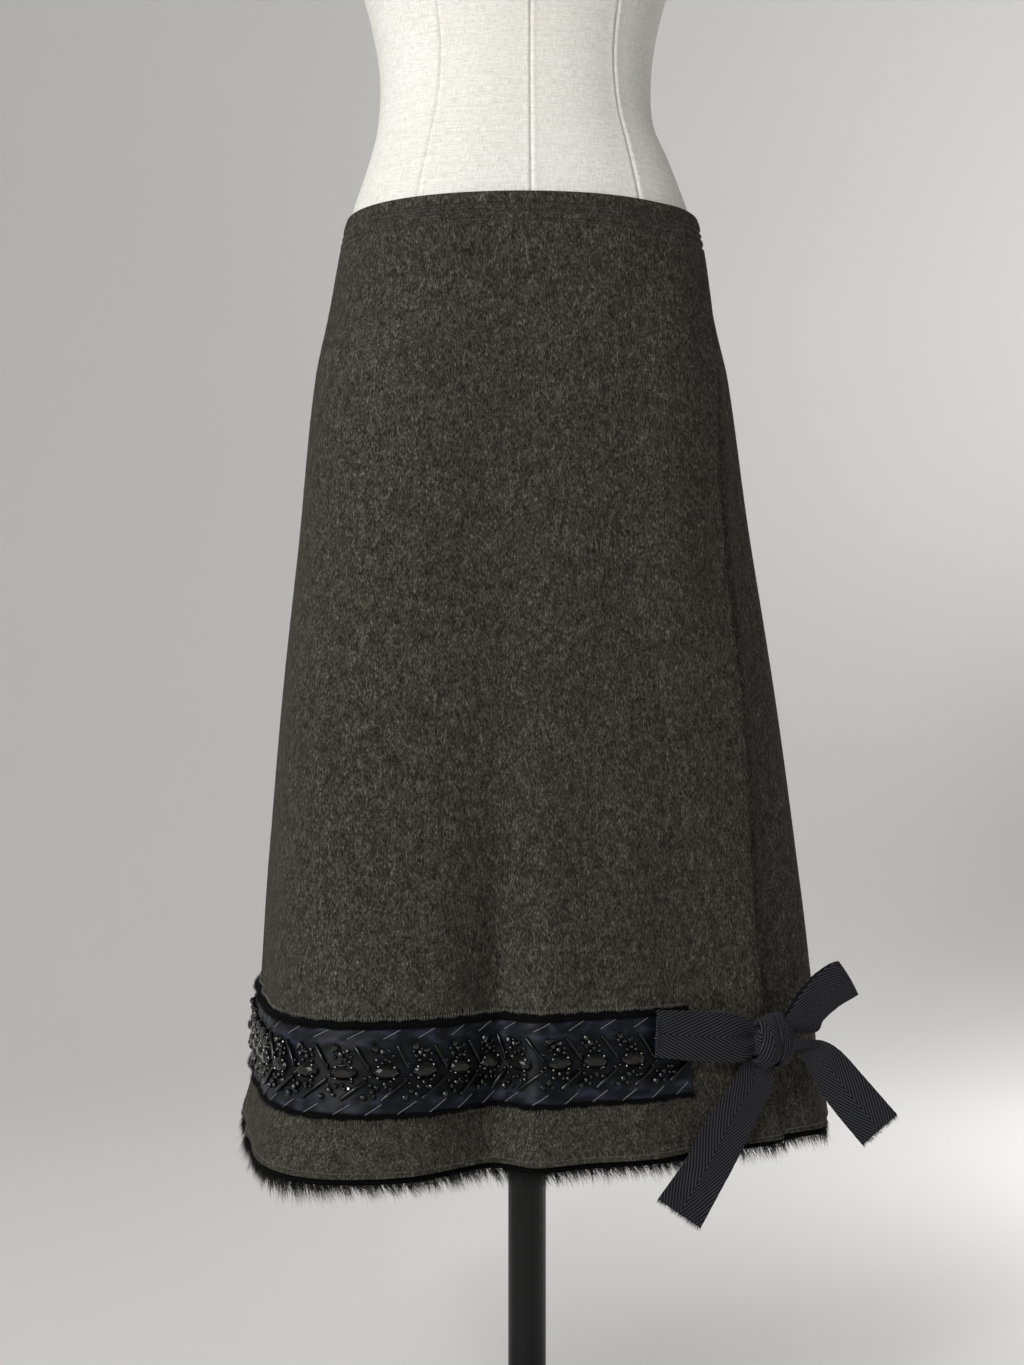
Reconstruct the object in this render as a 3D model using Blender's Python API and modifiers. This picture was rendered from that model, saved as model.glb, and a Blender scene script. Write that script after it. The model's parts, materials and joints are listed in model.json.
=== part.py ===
"""A-line wool skirt on a limbless dress form.

The skirt wraps: its front panel laps over the back panel at the wearer's left. A beaded ribbon runs round
above the hem, dark fur shows under the hem, and a bow of twill tape is tied at the ribbon's front end.

Units are metres and +Z is up. The form faces -Y, and the origin is the centre of the base's underside.
A bearing is an angle round the pole in degrees: 0 is the front, 90 is +X, 180 is the back.
"""

import math
from collections import namedtuple

import bmesh
import bpy
from mathutils import Matrix, Vector

# Cloth and seams
WOOL = 0.0020
WOOL_GAP = 0.0007
SEAM_GAP = 0.0003
TRIM_GAP = 0.0008
LAP_STEP = 0.0036
LAP_EASE = 0.0007

# Heights above the floor
HEM = 0.285
TRIM_BOTTOM = 0.322
TRIM_TOP = 0.387
TRIM_MIDDLE = (TRIM_BOTTOM + TRIM_TOP) / 2
SKIRT_SIDE_TOP = 0.9815
SKIRT_FRONT_RISE = 0.0045
FORM_BOTTOM = 0.800
SKIRT_RINGS = (HEM, TRIM_BOTTOM, TRIM_TOP, 0.450, 0.530, 0.610, 0.690, 0.765, 0.840, 0.885, 0.926, 0.958)

# Bearings of the skirt's edges
LEFT_SEAM = -100.0
SEAM_HALF_ANGLE = 0.13
UNDERLAP = 13.0
TRIM_FRONT_END = 38.0
TRIM_BACK_END = 112.0

# Beaded ribbon
BEAD_PITCH = 0.027
RIBBON_THICKNESS = 0.0014
BEAD_FIELD_RISE = 0.0022
STONE_RISE = 0.0034
STATIONS_UNDER_BOW = 6
TOP_EDGE_HEIGHT = 0.0055
BOTTOM_EDGE_HEIGHT = 0.0035
EDGE_RISE = 0.0032

# Fur under the hem
FUR_THICKNESS = 0.0030
FUR_GAP = 0.0007
FUR_ABOVE_HEM = 0.030
FUR_BELOW_HEM = 0.012

# Bow of twill tape
TAPE_THICKNESS = 0.0012
KNOT_BEARING = 53.5
KNOT_HEIGHT = 0.3584
KNOT_HALF_LENGTH = 0.0165
KNOT_HALF_DEPTH = 0.0118
KNOT_HALF_HEIGHT = 0.0190
KNOT_OUT = KNOT_HALF_DEPTH - 0.0002
BOW_FACING = -8.0

# Stand
POLE_RADIUS = 0.0150
POLE_CLEARANCE = 0.0004
BASE_RADIUS = 0.190
BASE_THICKNESS = 0.012
HUB_RADIUS = 0.026
HUB_TOP = 0.070
SOCKET_RADIUS = 0.022
SOCKET_LENGTH = 0.050
FLANGE_RADIUS = 0.055
FLANGE_THICKNESS = 0.005

FORM_COLUMNS = 40

FormSection = namedtuple("FormSection", "height half_width shift front back power")
FORM_SECTIONS = (
    FormSection(FORM_BOTTOM, 0.132, 0.005, 0.090, 0.104, 2.3),
    FormSection(0.806, 0.144, 0.005, 0.099, 0.116, 2.3),
    FormSection(0.820, 0.150, 0.005, 0.103, 0.121, 2.4),
    FormSection(0.850, 0.1535, 0.005, 0.106, 0.124, 2.4),
    FormSection(0.885, 0.1515, 0.005, 0.1065, 0.123, 2.4),
    FormSection(0.926, 0.1455, 0.005, 0.1060, 0.118, 2.4),
    FormSection(0.981, 0.1345, 0.0055, 0.1030, 0.107, 2.4),
    FormSection(1.030, 0.1180, 0.0065, 0.0940, 0.093, 2.3),
    FormSection(1.060, 0.1083, 0.0090, 0.0880, 0.087, 2.2),
    FormSection(1.100, 0.1068, 0.0090, 0.0830, 0.084, 2.2),
    FormSection(1.140, 0.1132, 0.0095, 0.0870, 0.088, 2.2),
    FormSection(1.170, 0.1215, 0.0095, 0.0930, 0.092, 2.2),
    FormSection(1.200, 0.1290, 0.0095, 0.1020, 0.096, 2.3),
    FormSection(1.230, 0.1350, 0.0095, 0.1130, 0.100, 2.4),
    FormSection(1.260, 0.1395, 0.0095, 0.1190, 0.103, 2.5),
    FormSection(1.285, 0.1420, 0.0095, 0.1175, 0.106, 2.5),
    FormSection(1.320, 0.1450, 0.0095, 0.1090, 0.108, 2.4),
    FormSection(1.360, 0.1520, 0.0095, 0.0960, 0.107, 2.3),
    FormSection(1.405, 0.1620, 0.0095, 0.0800, 0.099, 2.3),
    FormSection(1.430, 0.1580, 0.0095, 0.0720, 0.090, 2.3),
    FormSection(1.455, 0.1300, 0.0095, 0.0630, 0.078, 2.2),
    FormSection(1.478, 0.0880, 0.0090, 0.0560, 0.066, 2.1),
    FormSection(1.500, 0.0620, 0.0090, 0.0520, 0.057, 2.0),
    FormSection(1.530, 0.0560, 0.0090, 0.0510, 0.053, 2.0),
    FormSection(1.560, 0.0550, 0.0090, 0.0500, 0.052, 2.0),
    FormSection(1.566, 0.0480, 0.0090, 0.0430, 0.045, 2.0),
)

SkirtSection = namedtuple("SkirtSection", "height left right front back left_power right_power")
SKIRT_SECTIONS = (
    SkirtSection(HEM, 0.224, 0.2390, 0.176, 0.186, 2.8, 2.1),
    SkirtSection(TRIM_BOTTOM, 0.214, 0.2315, 0.161, 0.178, 2.8, 2.1),
    SkirtSection(TRIM_TOP, 0.209, 0.2265, 0.152, 0.172, 2.8, 2.1),
    SkirtSection(0.483, 0.2035, 0.215, 0.143, 0.162, 2.8, 2.1),
    SkirtSection(0.610, 0.1925, 0.197, 0.133, 0.152, 2.8, 2.2),
    SkirtSection(0.736, 0.1795, 0.177, 0.124, 0.141, 2.7, 2.2),
    SkirtSection(0.863, 0.166, 0.158, 0.116, 0.131, 2.6, 2.3),
    SkirtSection(0.926, 0.1530, 0.1430, 0.111, 0.122, 2.5, 2.4),
    SkirtSection(1.000, 0.130, 0.124, 0.100, 0.104, 2.4, 2.4),
)

WrapEdge = namedtuple("WrapEdge", "height bearing")
WRAP_EDGE = (
    WrapEdge(HEM, 55.0),
    WrapEdge(TRIM_TOP, 55.0),
    WrapEdge(0.450, 55.0),
    WrapEdge(0.610, 56.5),
    WrapEdge(0.736, 56.5),
    WrapEdge(0.840, 59.5),
    WrapEdge(0.926, 67.5),
    WrapEdge(1.000, 73.0),
)

# Each fold drifts from its top bearing to its hem bearing and grows from its start height to the hem
Fold = namedtuple("Fold", "name top_bearing hem_bearing half_width rise start growth")
FOLDS = (
    Fold("left front corner", -62.0, -42.0, 32.0, 0.048, 0.96, 1.4),
    Fold("left side hollow", -95.0, -86.0, 10.0, -0.004, 0.80, 1.6),
    Fold("front valley", -12.0, -18.0, 12.0, -0.019, 0.84, 2.0),
    Fold("front ridge", 6.0, -6.0, 14.0, 0.009, 0.80, 2.2),
    Fold("right front valley", 40.0, 40.0, 20.0, -0.015, 0.75, 2.0),
    Fold("hollow beside the wrap", 72.0, 59.0, 8.0, -0.007, 0.92, 0.8),
    Fold("right side ridge", 82.0, 68.0, 8.0, 0.006, 0.65, 1.4),
    Fold("right back ridge", 126.0, 130.0, 18.0, 0.013, 0.85, 1.8),
    Fold("centre back valley", 158.0, 160.0, 15.0, -0.010, 0.80, 1.8),
    Fold("centre back ridge", 188.0, 190.0, 16.0, 0.011, 0.84, 1.7),
    Fold("left back valley", 214.0, 216.0, 14.0, -0.009, 0.78, 1.8),
    Fold("left back ridge", 238.0, 240.0, 15.0, 0.010, 0.84, 1.8),
)


# Shared maths

def at_height(rows, height):
    """The table's columns at a height, on a smooth curve through its rows."""
    heights = [row.height for row in rows]
    height = min(max(height, heights[0]), heights[-1])
    upper = next(i for i in range(1, len(rows)) if height <= heights[i])
    lower = upper - 1
    span = heights[upper] - heights[lower]
    share = (height - heights[lower]) / span
    before, after = max(lower - 1, 0), min(upper + 1, len(rows) - 1)
    values = []
    for column in range(len(rows[0])):
        low, high = rows[lower][column], rows[upper][column]
        low_slope = (high - rows[before][column]) / (heights[upper] - heights[before]) * span
        high_slope = (rows[after][column] - low) / (heights[after] - heights[lower]) * span
        blend = share * share * (3 - 2 * share)
        bow = share * (1 - share) * (low_slope * (1 - share) - high_slope * share)
        values.append(low + (high - low) * blend + bow)
    return type(rows[0])(*values)


def ramp(value, start, end):
    """0 at start and 1 at end, with a smooth turn at both."""
    share = min(max((value - start) / (end - start), 0.0), 1.0)
    return share * share * (3 - 2 * share)


def bell(distance, half_width):
    """1 at no distance, falling smoothly to 0 at the half width."""
    return 1 - ramp(abs(distance), 0.0, half_width)


def away_from(bearing, other):
    """The signed angle from one bearing to another, from -180 to 180."""
    return (bearing - other + 180.0) % 360.0 - 180.0


def rounded_radius(bearing, left, right, front, back, left_power, right_power):
    """Radius of a rounded outline whose four half sizes and two corner powers are given."""
    sine, cosine = math.sin(math.radians(bearing)), math.cos(math.radians(bearing))
    side, power = (right, right_power) if sine > 0 else (left, left_power)
    depth = front if cosine > 0 else back
    return (abs(sine / side) ** power + abs(cosine / depth) ** power) ** (-1 / power)


def form_radius(bearing, height):
    """The dress form's surface."""
    s = at_height(FORM_SECTIONS, height)
    left, right = s.half_width + s.shift, s.half_width - s.shift
    return rounded_radius(bearing, left, right, s.front, s.back, s.power, s.power)


def fold_rise(bearing, height):
    """How far the folds push the cloth out at this place."""
    total = 0.0
    for fold in FOLDS:
        drop = min(max((fold.start - height) / (fold.start - HEM), 0.0), 1.0)
        centre = fold.hem_bearing + (fold.top_bearing - fold.hem_bearing) * (1 - drop)
        total += fold.rise * drop**fold.growth * bell(away_from(bearing, centre), fold.half_width)
    return total


def wool_radius(bearing, height):
    """The skirt's outer surface, before the front panel laps over the back one."""
    s = at_height(SKIRT_SECTIONS, height)
    free = rounded_radius(bearing, s.left, s.right, s.front, s.back, s.left_power, s.right_power)
    free += fold_rise(bearing, height)
    if height < FORM_BOTTOM:
        return free
    resting = form_radius(bearing, height) + WOOL_GAP + WOOL
    hug = ramp(height, 0.86, 0.94)
    return max(free + (resting - free) * hug, resting)


def front_radius(bearing, height):
    """The front panel, which climbs over the back panel's underlap before the wrap edge."""
    before_edge = at_height(WRAP_EDGE, height).bearing - bearing
    step = LAP_STEP - LAP_EASE * ramp(height, 0.90, 0.98)
    return wool_radius(bearing, height) + step * (1 - ramp(before_edge, UNDERLAP + 2, UNDERLAP + 16))


def place(radius_at, bearing, height, out=0.0):
    """A point on a surface, moved out along the surface's level normal."""
    step = 0.4
    ring = []
    for turn in (-step, 0.0, step):
        angle = math.radians(bearing + turn)
        radius = radius_at(bearing + turn, height)
        ring.append(Vector((radius * math.sin(angle), -radius * math.cos(angle), height)))
    along = (ring[2] - ring[0]).normalized()
    return ring[1] + out * along.cross(Vector((0, 0, 1)))


def even_bearings(radius_at, start, end, step):
    """Bearings from start to end, spaced at equal lengths along the ring at the trim's middle."""
    fine = [start + (end - start) * i / 400 for i in range(401)]
    points = [place(radius_at, b, TRIM_MIDDLE) for b in fine]
    lengths = [0.0]
    for a, b in zip(points, points[1:]):
        lengths.append(lengths[-1] + (b - a).length)
    count = round(lengths[-1] / step)
    bearings = []
    for k in range(count + 1):
        wanted = lengths[-1] * k / count
        i = min(max(next(j for j, s in enumerate(lengths) if s >= wanted - 1e-9), 1), 400)
        share = (wanted - lengths[i - 1]) / (lengths[i] - lengths[i - 1])
        bearings.append(fine[i - 1] + (fine[i] - fine[i - 1]) * share)
    return bearings


# Shared building steps

def new_object(name, mesh, collection, material):
    mesh.materials.append(material)
    obj = bpy.data.objects.new(name, mesh)
    collection.objects.link(obj)
    mesh.shade_smooth()
    mesh.set_sharp_from_angle(angle=math.radians(40))
    return obj


def make_material(name, colour, roughness, metallic=0.0):
    material = bpy.data.materials.new(name)
    material.use_nodes = True
    shader = material.node_tree.nodes["Principled BSDF"]
    shader.inputs["Base Color"].default_value = (*colour, 1.0)
    shader.inputs["Roughness"].default_value = roughness
    shader.inputs["Metallic"].default_value = metallic
    return material


def sheet_object(name, rows, thickness, offset, collection, material):
    """A sheet: a grid whose vertices take rows of points that run upwards, thickened by Solidify."""
    grid = bmesh.new()
    bmesh.ops.create_grid(grid, x_segments=len(rows[0]) - 1, y_segments=len(rows) - 1, size=1.0)
    for vert, point in zip(grid.verts, (point for row in rows for point in row)):
        vert.co = point
    mesh = bpy.data.meshes.new(name)
    grid.to_mesh(mesh)
    grid.free()
    obj = new_object(name, mesh, collection, material)
    wall = obj.modifiers.new("Wall", "SOLIDIFY")
    wall.thickness = thickness
    wall.offset = offset
    wall.use_even_offset = True
    return obj


def raised_strip(name, outer_rows, inner_rows, collection, material):
    """A closed strip whose outer face has its own rows over a plain inner face."""
    strip = bmesh.new()
    loop_of_rows = outer_rows + list(reversed(inner_rows))
    rows = [[strip.verts.new(point) for point in row] for row in loop_of_rows]
    for row, following in zip(rows, rows[1:] + rows[:1]):
        for c in range(len(row) - 1):
            strip.faces.new((row[c], row[c + 1], following[c + 1], following[c]))
    strip.faces.new([row[0] for row in rows])
    strip.faces.new([row[-1] for row in reversed(rows)])
    mesh = bpy.data.meshes.new(name)
    strip.to_mesh(mesh)
    strip.free()
    return new_object(name, mesh, collection, material)


def turned_object(name, profile, closed, steps, collection, material):
    """A turned shape: a profile of (radius, height) pairs with a Screw modifier."""
    mesh = bpy.data.meshes.new(name)
    edges = [(i, i + 1) for i in range(len(profile) - 1)]
    if closed:
        edges.append((len(profile) - 1, 0))
    mesh.from_pydata([(radius, 0, height) for radius, height in profile], edges, [])
    obj = new_object(name, mesh, collection, material)
    screw = obj.modifiers.new("Turn", "SCREW")
    screw.axis = "Z"
    screw.steps = screw.render_steps = steps
    screw.use_merge_vertices = True
    screw.merge_threshold = 0.00005
    return obj


# Dress form and stand

def build_form_torso(collection, material):
    """The padded torso, a loft through level rings that share the skirt's heights where the two meet."""
    shared = [h for h in SKIRT_RINGS if h > FORM_BOTTOM] + [SKIRT_SIDE_TOP + SKIRT_FRONT_RISE]
    own = [s.height for s in FORM_SECTIONS if s.height < shared[0] or s.height > shared[-1]]
    heights = sorted(own + shared)
    mesh = bmesh.new()
    rings = []
    for height in heights:
        ring = []
        for column in range(FORM_COLUMNS):
            bearing = 360.0 * column / FORM_COLUMNS
            radius, angle = form_radius(bearing, height), math.radians(bearing)
            ring.append(mesh.verts.new((radius * math.sin(angle), -radius * math.cos(angle), height)))
        rings.append(ring)
    for low, high in zip(rings, rings[1:]):
        for c in range(FORM_COLUMNS):
            d = (c + 1) % FORM_COLUMNS
            mesh.faces.new((low[c], low[d], high[d], high[c]))
    mesh.faces.new(list(reversed(rings[0])))
    mesh.faces.new(rings[-1])
    torso = bpy.data.meshes.new("form_torso")
    mesh.to_mesh(torso)
    mesh.free()
    return new_object("form_torso", torso, collection, material)


def build_stand(collection, material):
    """A flat round base with a hub, the pole that stands in it, and the socket under the torso."""
    edge = 0.002
    bore = POLE_RADIUS + POLE_CLEARANCE
    base = (
        (0.0, BASE_THICKNESS),
        (bore, BASE_THICKNESS),
        (bore, HUB_TOP),
        (HUB_RADIUS - edge, HUB_TOP),
        (HUB_RADIUS, HUB_TOP - edge),
        (HUB_RADIUS, BASE_THICKNESS + 0.006),
        (HUB_RADIUS + 0.006, BASE_THICKNESS),
        (BASE_RADIUS - edge, BASE_THICKNESS),
        (BASE_RADIUS, BASE_THICKNESS - edge),
        (BASE_RADIUS, edge),
        (BASE_RADIUS - edge, 0.0),
        (0.0, 0.0),
    )
    turned_object("stand_base", base, False, 40, collection, material)

    pole_bottom = BASE_THICKNESS + POLE_CLEARANCE
    pole_top = FORM_BOTTOM - SEAM_GAP
    bpy.ops.mesh.primitive_cylinder_add(
        vertices=24,
        radius=POLE_RADIUS,
        depth=pole_top - pole_bottom,
        location=(0, 0, (pole_top + pole_bottom) / 2),
    )
    pole = bpy.context.object
    pole.name = "stand_pole"
    pole.data.materials.append(material)
    pole.data.shade_smooth()
    pole.data.set_sharp_from_angle(angle=math.radians(40))
    for owner in list(pole.users_collection):
        owner.objects.unlink(pole)
    collection.objects.link(pole)

    top = FORM_BOTTOM - SEAM_GAP
    socket = (
        (bore, top),
        (FLANGE_RADIUS, top),
        (FLANGE_RADIUS, top - FLANGE_THICKNESS),
        (SOCKET_RADIUS, top - FLANGE_THICKNESS),
        (SOCKET_RADIUS, top - SOCKET_LENGTH),
        (bore, top - SOCKET_LENGTH),
    )
    turned_object("stand_socket", socket, True, 24, collection, material)


# Skirt panels

def skirt_top(bearing):
    """Height of the waist edge, which rises a little at the front and back."""
    return SKIRT_SIDE_TOP + SKIRT_FRONT_RISE * math.cos(math.radians(bearing)) ** 2


def panel_rows(radius_at, bearings, fixed, moving):
    """Rows of a panel. Its columns fan from the fixed seam to the edge that drifts round with height.

    Behind the ribbon the columns are straight, with one more row half way.
    """
    hem_edge = WRAP_EDGE[0].bearing
    rows = []
    for height in [*SKIRT_RINGS, None]:
        row = []
        for hem_bearing in bearings:
            ring = height or skirt_top(hem_bearing)
            edge = at_height(WRAP_EDGE, ring).bearing
            share = (hem_bearing - fixed) / (moving - fixed)
            bearing = hem_bearing + (edge - hem_edge) * share
            row.append(place(radius_at, bearing, ring))
        rows.append(row)
    below, above = SKIRT_RINGS.index(TRIM_BOTTOM), SKIRT_RINGS.index(TRIM_TOP)
    rows.insert(above, [(a + b) / 2 for a, b in zip(rows[below], rows[above])])
    return rows


def front_bearings():
    seam = LEFT_SEAM + SEAM_HALF_ANGLE
    return even_bearings(front_radius, seam, WRAP_EDGE[0].bearing, BEAD_PITCH / 2)


def back_bearings():
    seam = LEFT_SEAM + 360.0 - SEAM_HALF_ANGLE
    return even_bearings(wool_radius, WRAP_EDGE[0].bearing - UNDERLAP, seam, BEAD_PITCH / 2)


def build_skirt(collection, material):
    front, back = front_bearings(), back_bearings()
    front_rows = panel_rows(front_radius, front, front[0], front[-1])
    sheet_object("skirt_front", front_rows, WOOL, -1, collection, material)
    back_rows = panel_rows(wool_radius, back, back[-1], back[0])
    sheet_object("skirt_back", back_rows, WOOL, -1, collection, material)


def build_fur(collection, material):
    """The fur facing inside each panel's hem, which shows as a dark edge below it."""
    levels = (
        (HEM - FUR_BELOW_HEM, -0.0010),
        (HEM - 0.005, -0.0014),
        (HEM - 0.001, -WOOL - FUR_GAP),
        (HEM + FUR_ABOVE_HEM, -WOOL - FUR_GAP),
    )
    step = math.degrees(0.004 / 0.21)
    front, back = front_bearings(), back_bearings()
    panels = (
        ("fur_front", front_radius, front, front[0] + step, back[0] - step),
        ("fur_back", wool_radius, back, back[0] + step, back[-1] - step),
    )
    for name, radius_at, bearings, start, end in panels:
        shown = [b for b in bearings if start < b < end]
        rows = []
        for height, out in levels:
            ring = max(height, HEM)
            rows.append([place(radius_at, b, ring, out) + Vector((0, 0, height - ring)) for b in shown])
        sheet_object(name, rows, FUR_THICKNESS, -1, collection, material)


# Beaded ribbon

def trim_column(radius_at, bearing):
    """The panel's own line under the ribbon: its foot and top, and the way out at both."""
    foot, top = place(radius_at, bearing, TRIM_BOTTOM), place(radius_at, bearing, TRIM_TOP)
    out_at_foot = place(radius_at, bearing, TRIM_BOTTOM, 1.0) - foot
    out_at_top = place(radius_at, bearing, TRIM_TOP, 1.0) - top
    return foot, top, out_at_foot, out_at_top


def trim_stations(parts):
    """Lines up the ribbon, like trim_column's and made from the panels' own points.

    Every stretch between two columns of a panel is cut into equal parts, on the panel's flat facet.
    """
    front = [(front_radius, b) for b in reversed(front_bearings()) if b <= TRIM_FRONT_END]
    back = [(wool_radius, b) for b in reversed(back_bearings()) if b >= TRIM_BACK_END]
    columns = [trim_column(radius_at, bearing) for radius_at, bearing in front + back[1:]]
    stations = []
    for a, b in zip(columns, columns[1:]):
        for part in range(parts):
            stations.append([p.lerp(q, part / parts) for p, q in zip(a, b)])
    stations.append(list(columns[-1]))
    return list(reversed(stations))


def on_trim(station, height, out):
    foot, top, out_at_foot, out_at_top = station
    share = (height - TRIM_BOTTOM) / (TRIM_TOP - TRIM_BOTTOM)
    return foot.lerp(top, share) + out_at_foot.lerp(out_at_top, share) * out


def build_ribbon(collection, material):
    """The ribbon with its field of beads and, along its middle, one raised stone in each repeat.

    The stations at its front end lie under the bow and have no stone.
    """
    stations = trim_stations(2)
    low = TRIM_BOTTOM + BOTTOM_EDGE_HEIGHT + SEAM_GAP
    high = TRIM_TOP - TOP_EDGE_HEIGHT - SEAM_GAP
    middle = (low + high) / 2
    face = TRIM_GAP + RIBBON_THICKNESS
    field = face + BEAD_FIELD_RISE
    repeat = 4
    stone = {0: 1.0, 1: 0.62, 2: 0.0, 3: 0.62}
    outer = []
    for height, plain, share in (
        (low, face, 0.0),
        (middle - 0.019, face, 0.0),
        (middle - 0.014, field, 0.0),
        (middle - 0.006, field, 0.10),
        (middle, field, 1.0),
        (middle + 0.006, field, 0.10),
        (middle + 0.014, field, 0.0),
        (middle + 0.019, face, 0.0),
        (high, face, 0.0),
    ):
        row = []
        for i, station in enumerate(stations):
            under_bow = i >= len(stations) - STATIONS_UNDER_BOW
            rise = 0.0 if under_bow else STONE_RISE * share * stone[i % repeat]
            ends = i in (0, len(stations) - 1)
            row.append(on_trim(station, height, face if ends else plain + rise))
        outer.append(row)
    inner = [[on_trim(s, height, TRIM_GAP) for s in stations] for height in (low, high)]
    raised_strip("trim_ribbon", outer, inner, collection, material)


def build_trim_edges(collection, material):
    """The soft black edges along the ribbon's top and bottom."""
    stations = trim_stations(1)
    edges = (
        ("trim_edge_top", TRIM_TOP - TOP_EDGE_HEIGHT, TRIM_TOP),
        ("trim_edge_bottom", TRIM_BOTTOM, TRIM_BOTTOM + BOTTOM_EDGE_HEIGHT),
    )
    for name, low, high in edges:
        shape = ((low, 0.55), ((low + high) / 2, 1.0), (high, 0.55))
        outer = [[on_trim(s, at, TRIM_GAP + EDGE_RISE * rise) for s in stations] for at, rise in shape]
        inner = [[on_trim(s, height, TRIM_GAP) for s in stations] for height in (low, high)]
        raised_strip(name, outer, inner, collection, material)


# Bow

def knot_frame():
    """The knot's seat on the front panel, and its directions: along to the right, out, and up."""
    column = trim_column(front_radius, KNOT_BEARING)
    out = (column[2] + column[3]).normalized()
    up = Vector((0, 0, 1))
    return on_trim(column, KNOT_HEIGHT, 0.0), up.cross(out), out, up


def smooth_path(rows, steps):
    """Rows of vectors and numbers, on a smooth curve through the given ones."""
    count = len(rows)
    path = []
    for i in range(count - 1):
        before, a, b, after = rows[max(i - 1, 0)], rows[i], rows[i + 1], rows[min(i + 2, count - 1)]
        for k in range(steps):
            t = k / steps
            blended = []
            for p, q, r, s in zip(before, a, b, after):
                bend = p * 2 - q * 5 + r * 4 - s
                sway = q * 3 - p - r * 3 + s
                blended.append((q * 2 + (r - p) * t + bend * t**2 + sway * t**3) * 0.5)
            path.append(blended)
    path.append(list(rows[-1]))
    return path


def tape_object(name, stations, steps, collection, material):
    """A length of tape. Each station is its two edges."""
    rows = []
    for first, second in smooth_path(stations, steps):
        rows.append([first, (first + second) / 2, second])
    return sheet_object(name, rows, TAPE_THICKNESS, 0, collection, material)


# Millimetres from the knot's centre: to the right, towards the viewer and up, for the tape's two edges
LEFT_LOOP = (
    (-16.0, 7.0, 16.0, -16.0, 9.0, -9.0),
    (-28.5, 14.5, 22.0, -26.0, 16.0, -12.5),
    (-46.0, 23.5, 25.0, -46.0, 25.5, -11.0),
    (-66.5, 32.5, 27.5, -66.5, 35.0, -7.5),
    (-82.0, 39.0, 29.0, -83.5, 41.5, -4.5),
    (-87.5, 40.5, 29.0, -89.0, 43.5, -3.5),
    (-81.5, 35.0, 28.0, -83.5, 38.5, -4.0),
    (-66.0, 26.5, 25.0, -66.0, 29.5, -5.5),
    (-45.0, 14.5, 21.5, -45.0, 16.5, -8.0),
    (-27.5, 6.5, 16.5, -25.5, 8.0, -9.5),
    (-15.8, 1.5, 10.5, -15.8, 3.0, -7.5),
)
LEFT_TAIL = (
    (-23.5, 8.5, -16.0, 2.0, -1.5, -20.0),
    (-30.5, 14.0, -28.0, 1.0, 1.5, -33.5),
    (-38.5, 19.5, -38.0, -6.0, 8.0, -44.5),
    (-53.5, 32.0, -55.5, -20.5, 23.5, -66.5),
    (-67.5, 45.0, -77.0, -34.0, 36.5, -87.0),
    (-88.0, 57.0, -102.0, -57.5, 50.5, -124.0),
)
RIGHT_LOOP = (
    (9.6, 0.5, 14.8, 19.6, -9.0, 3.6),
    (14.0, 4.0, 23.5, 35.0, -10.0, 5.5),
    (21.0, 7.0, 35.5, 39.5, -9.0, 14.0),
    (31.0, 9.0, 48.0, 50.5, -7.0, 24.5),
    (42.0, 9.0, 57.0, 59.5, -7.0, 30.0),
    (48.0, 7.0, 59.5, 65.0, -9.0, 33.0),
    (41.0, 4.0, 56.5, 58.0, -12.0, 30.0),
    (29.0, 3.0, 47.5, 47.5, -13.0, 24.0),
    (19.0, 1.0, 36.5, 36.0, -15.0, 14.5),
    (12.0, -1.0, 25.0, 29.0, -15.0, 7.5),
    (9.0, -4.0, 17.0, 18.0, -14.0, 6.0),
)
RIGHT_TAIL = (
    (15.4, -2.0, 2.0, 15.0, -2.0, -7.5),
    (28.0, 0.0, 1.0, 22.5, -4.0, -12.0),
    (39.5, 0.0, -0.5, 26.5, -6.0, -19.5),
    (52.5, -2.0, -9.0, 33.0, -7.0, -31.5),
    (70.0, -6.0, -28.5, 44.5, -10.0, -49.5),
    (94.5, -10.0, -56.5, 69.5, -14.0, -80.0),
)


def tape_stations(table, centre):
    """A bow table's edge points in the part's frame."""
    facing = math.radians(BOW_FACING)
    towards = Vector((math.sin(facing), -math.cos(facing), 0))
    up = Vector((0, 0, 1))
    right = up.cross(towards)
    stations = []
    for row in table:
        first, second = (centre + (right * a + towards * b + up * c) / 1000 for a, b, c in (row[:3], row[3:]))
        stations.append((first, second))
    return stations


def build_bow(collection, material):
    seat, along, out, up = knot_frame()
    bpy.ops.mesh.primitive_uv_sphere_add(segments=20, ring_count=12, radius=1.0)
    knot = bpy.context.object
    knot.name = "bow_knot"
    centre = seat + out * KNOT_OUT
    turn = Matrix((out, along, up)).transposed().to_4x4()
    size = Matrix.Diagonal((KNOT_HALF_DEPTH, KNOT_HALF_LENGTH, KNOT_HALF_HEIGHT, 1.0))
    knot.data.transform(Matrix.Translation(centre) @ turn @ size)
    knot.data.materials.append(material)
    knot.data.shade_smooth()
    for owner in list(knot.users_collection):
        owner.objects.unlink(knot)
    collection.objects.link(knot)

    tape_object("bow_loop_left", tape_stations(LEFT_LOOP, centre), 3, collection, material)
    tape_object("bow_loop_right", tape_stations(RIGHT_LOOP, centre), 3, collection, material)
    tape_object("bow_tail_left", tape_stations(LEFT_TAIL, centre), 4, collection, material)
    tape_object("bow_tail_right", tape_stations(RIGHT_TAIL, centre), 4, collection, material)


def clear_scene():
    for obj in list(bpy.data.objects):
        bpy.data.objects.remove(obj, do_unlink=True)


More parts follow.
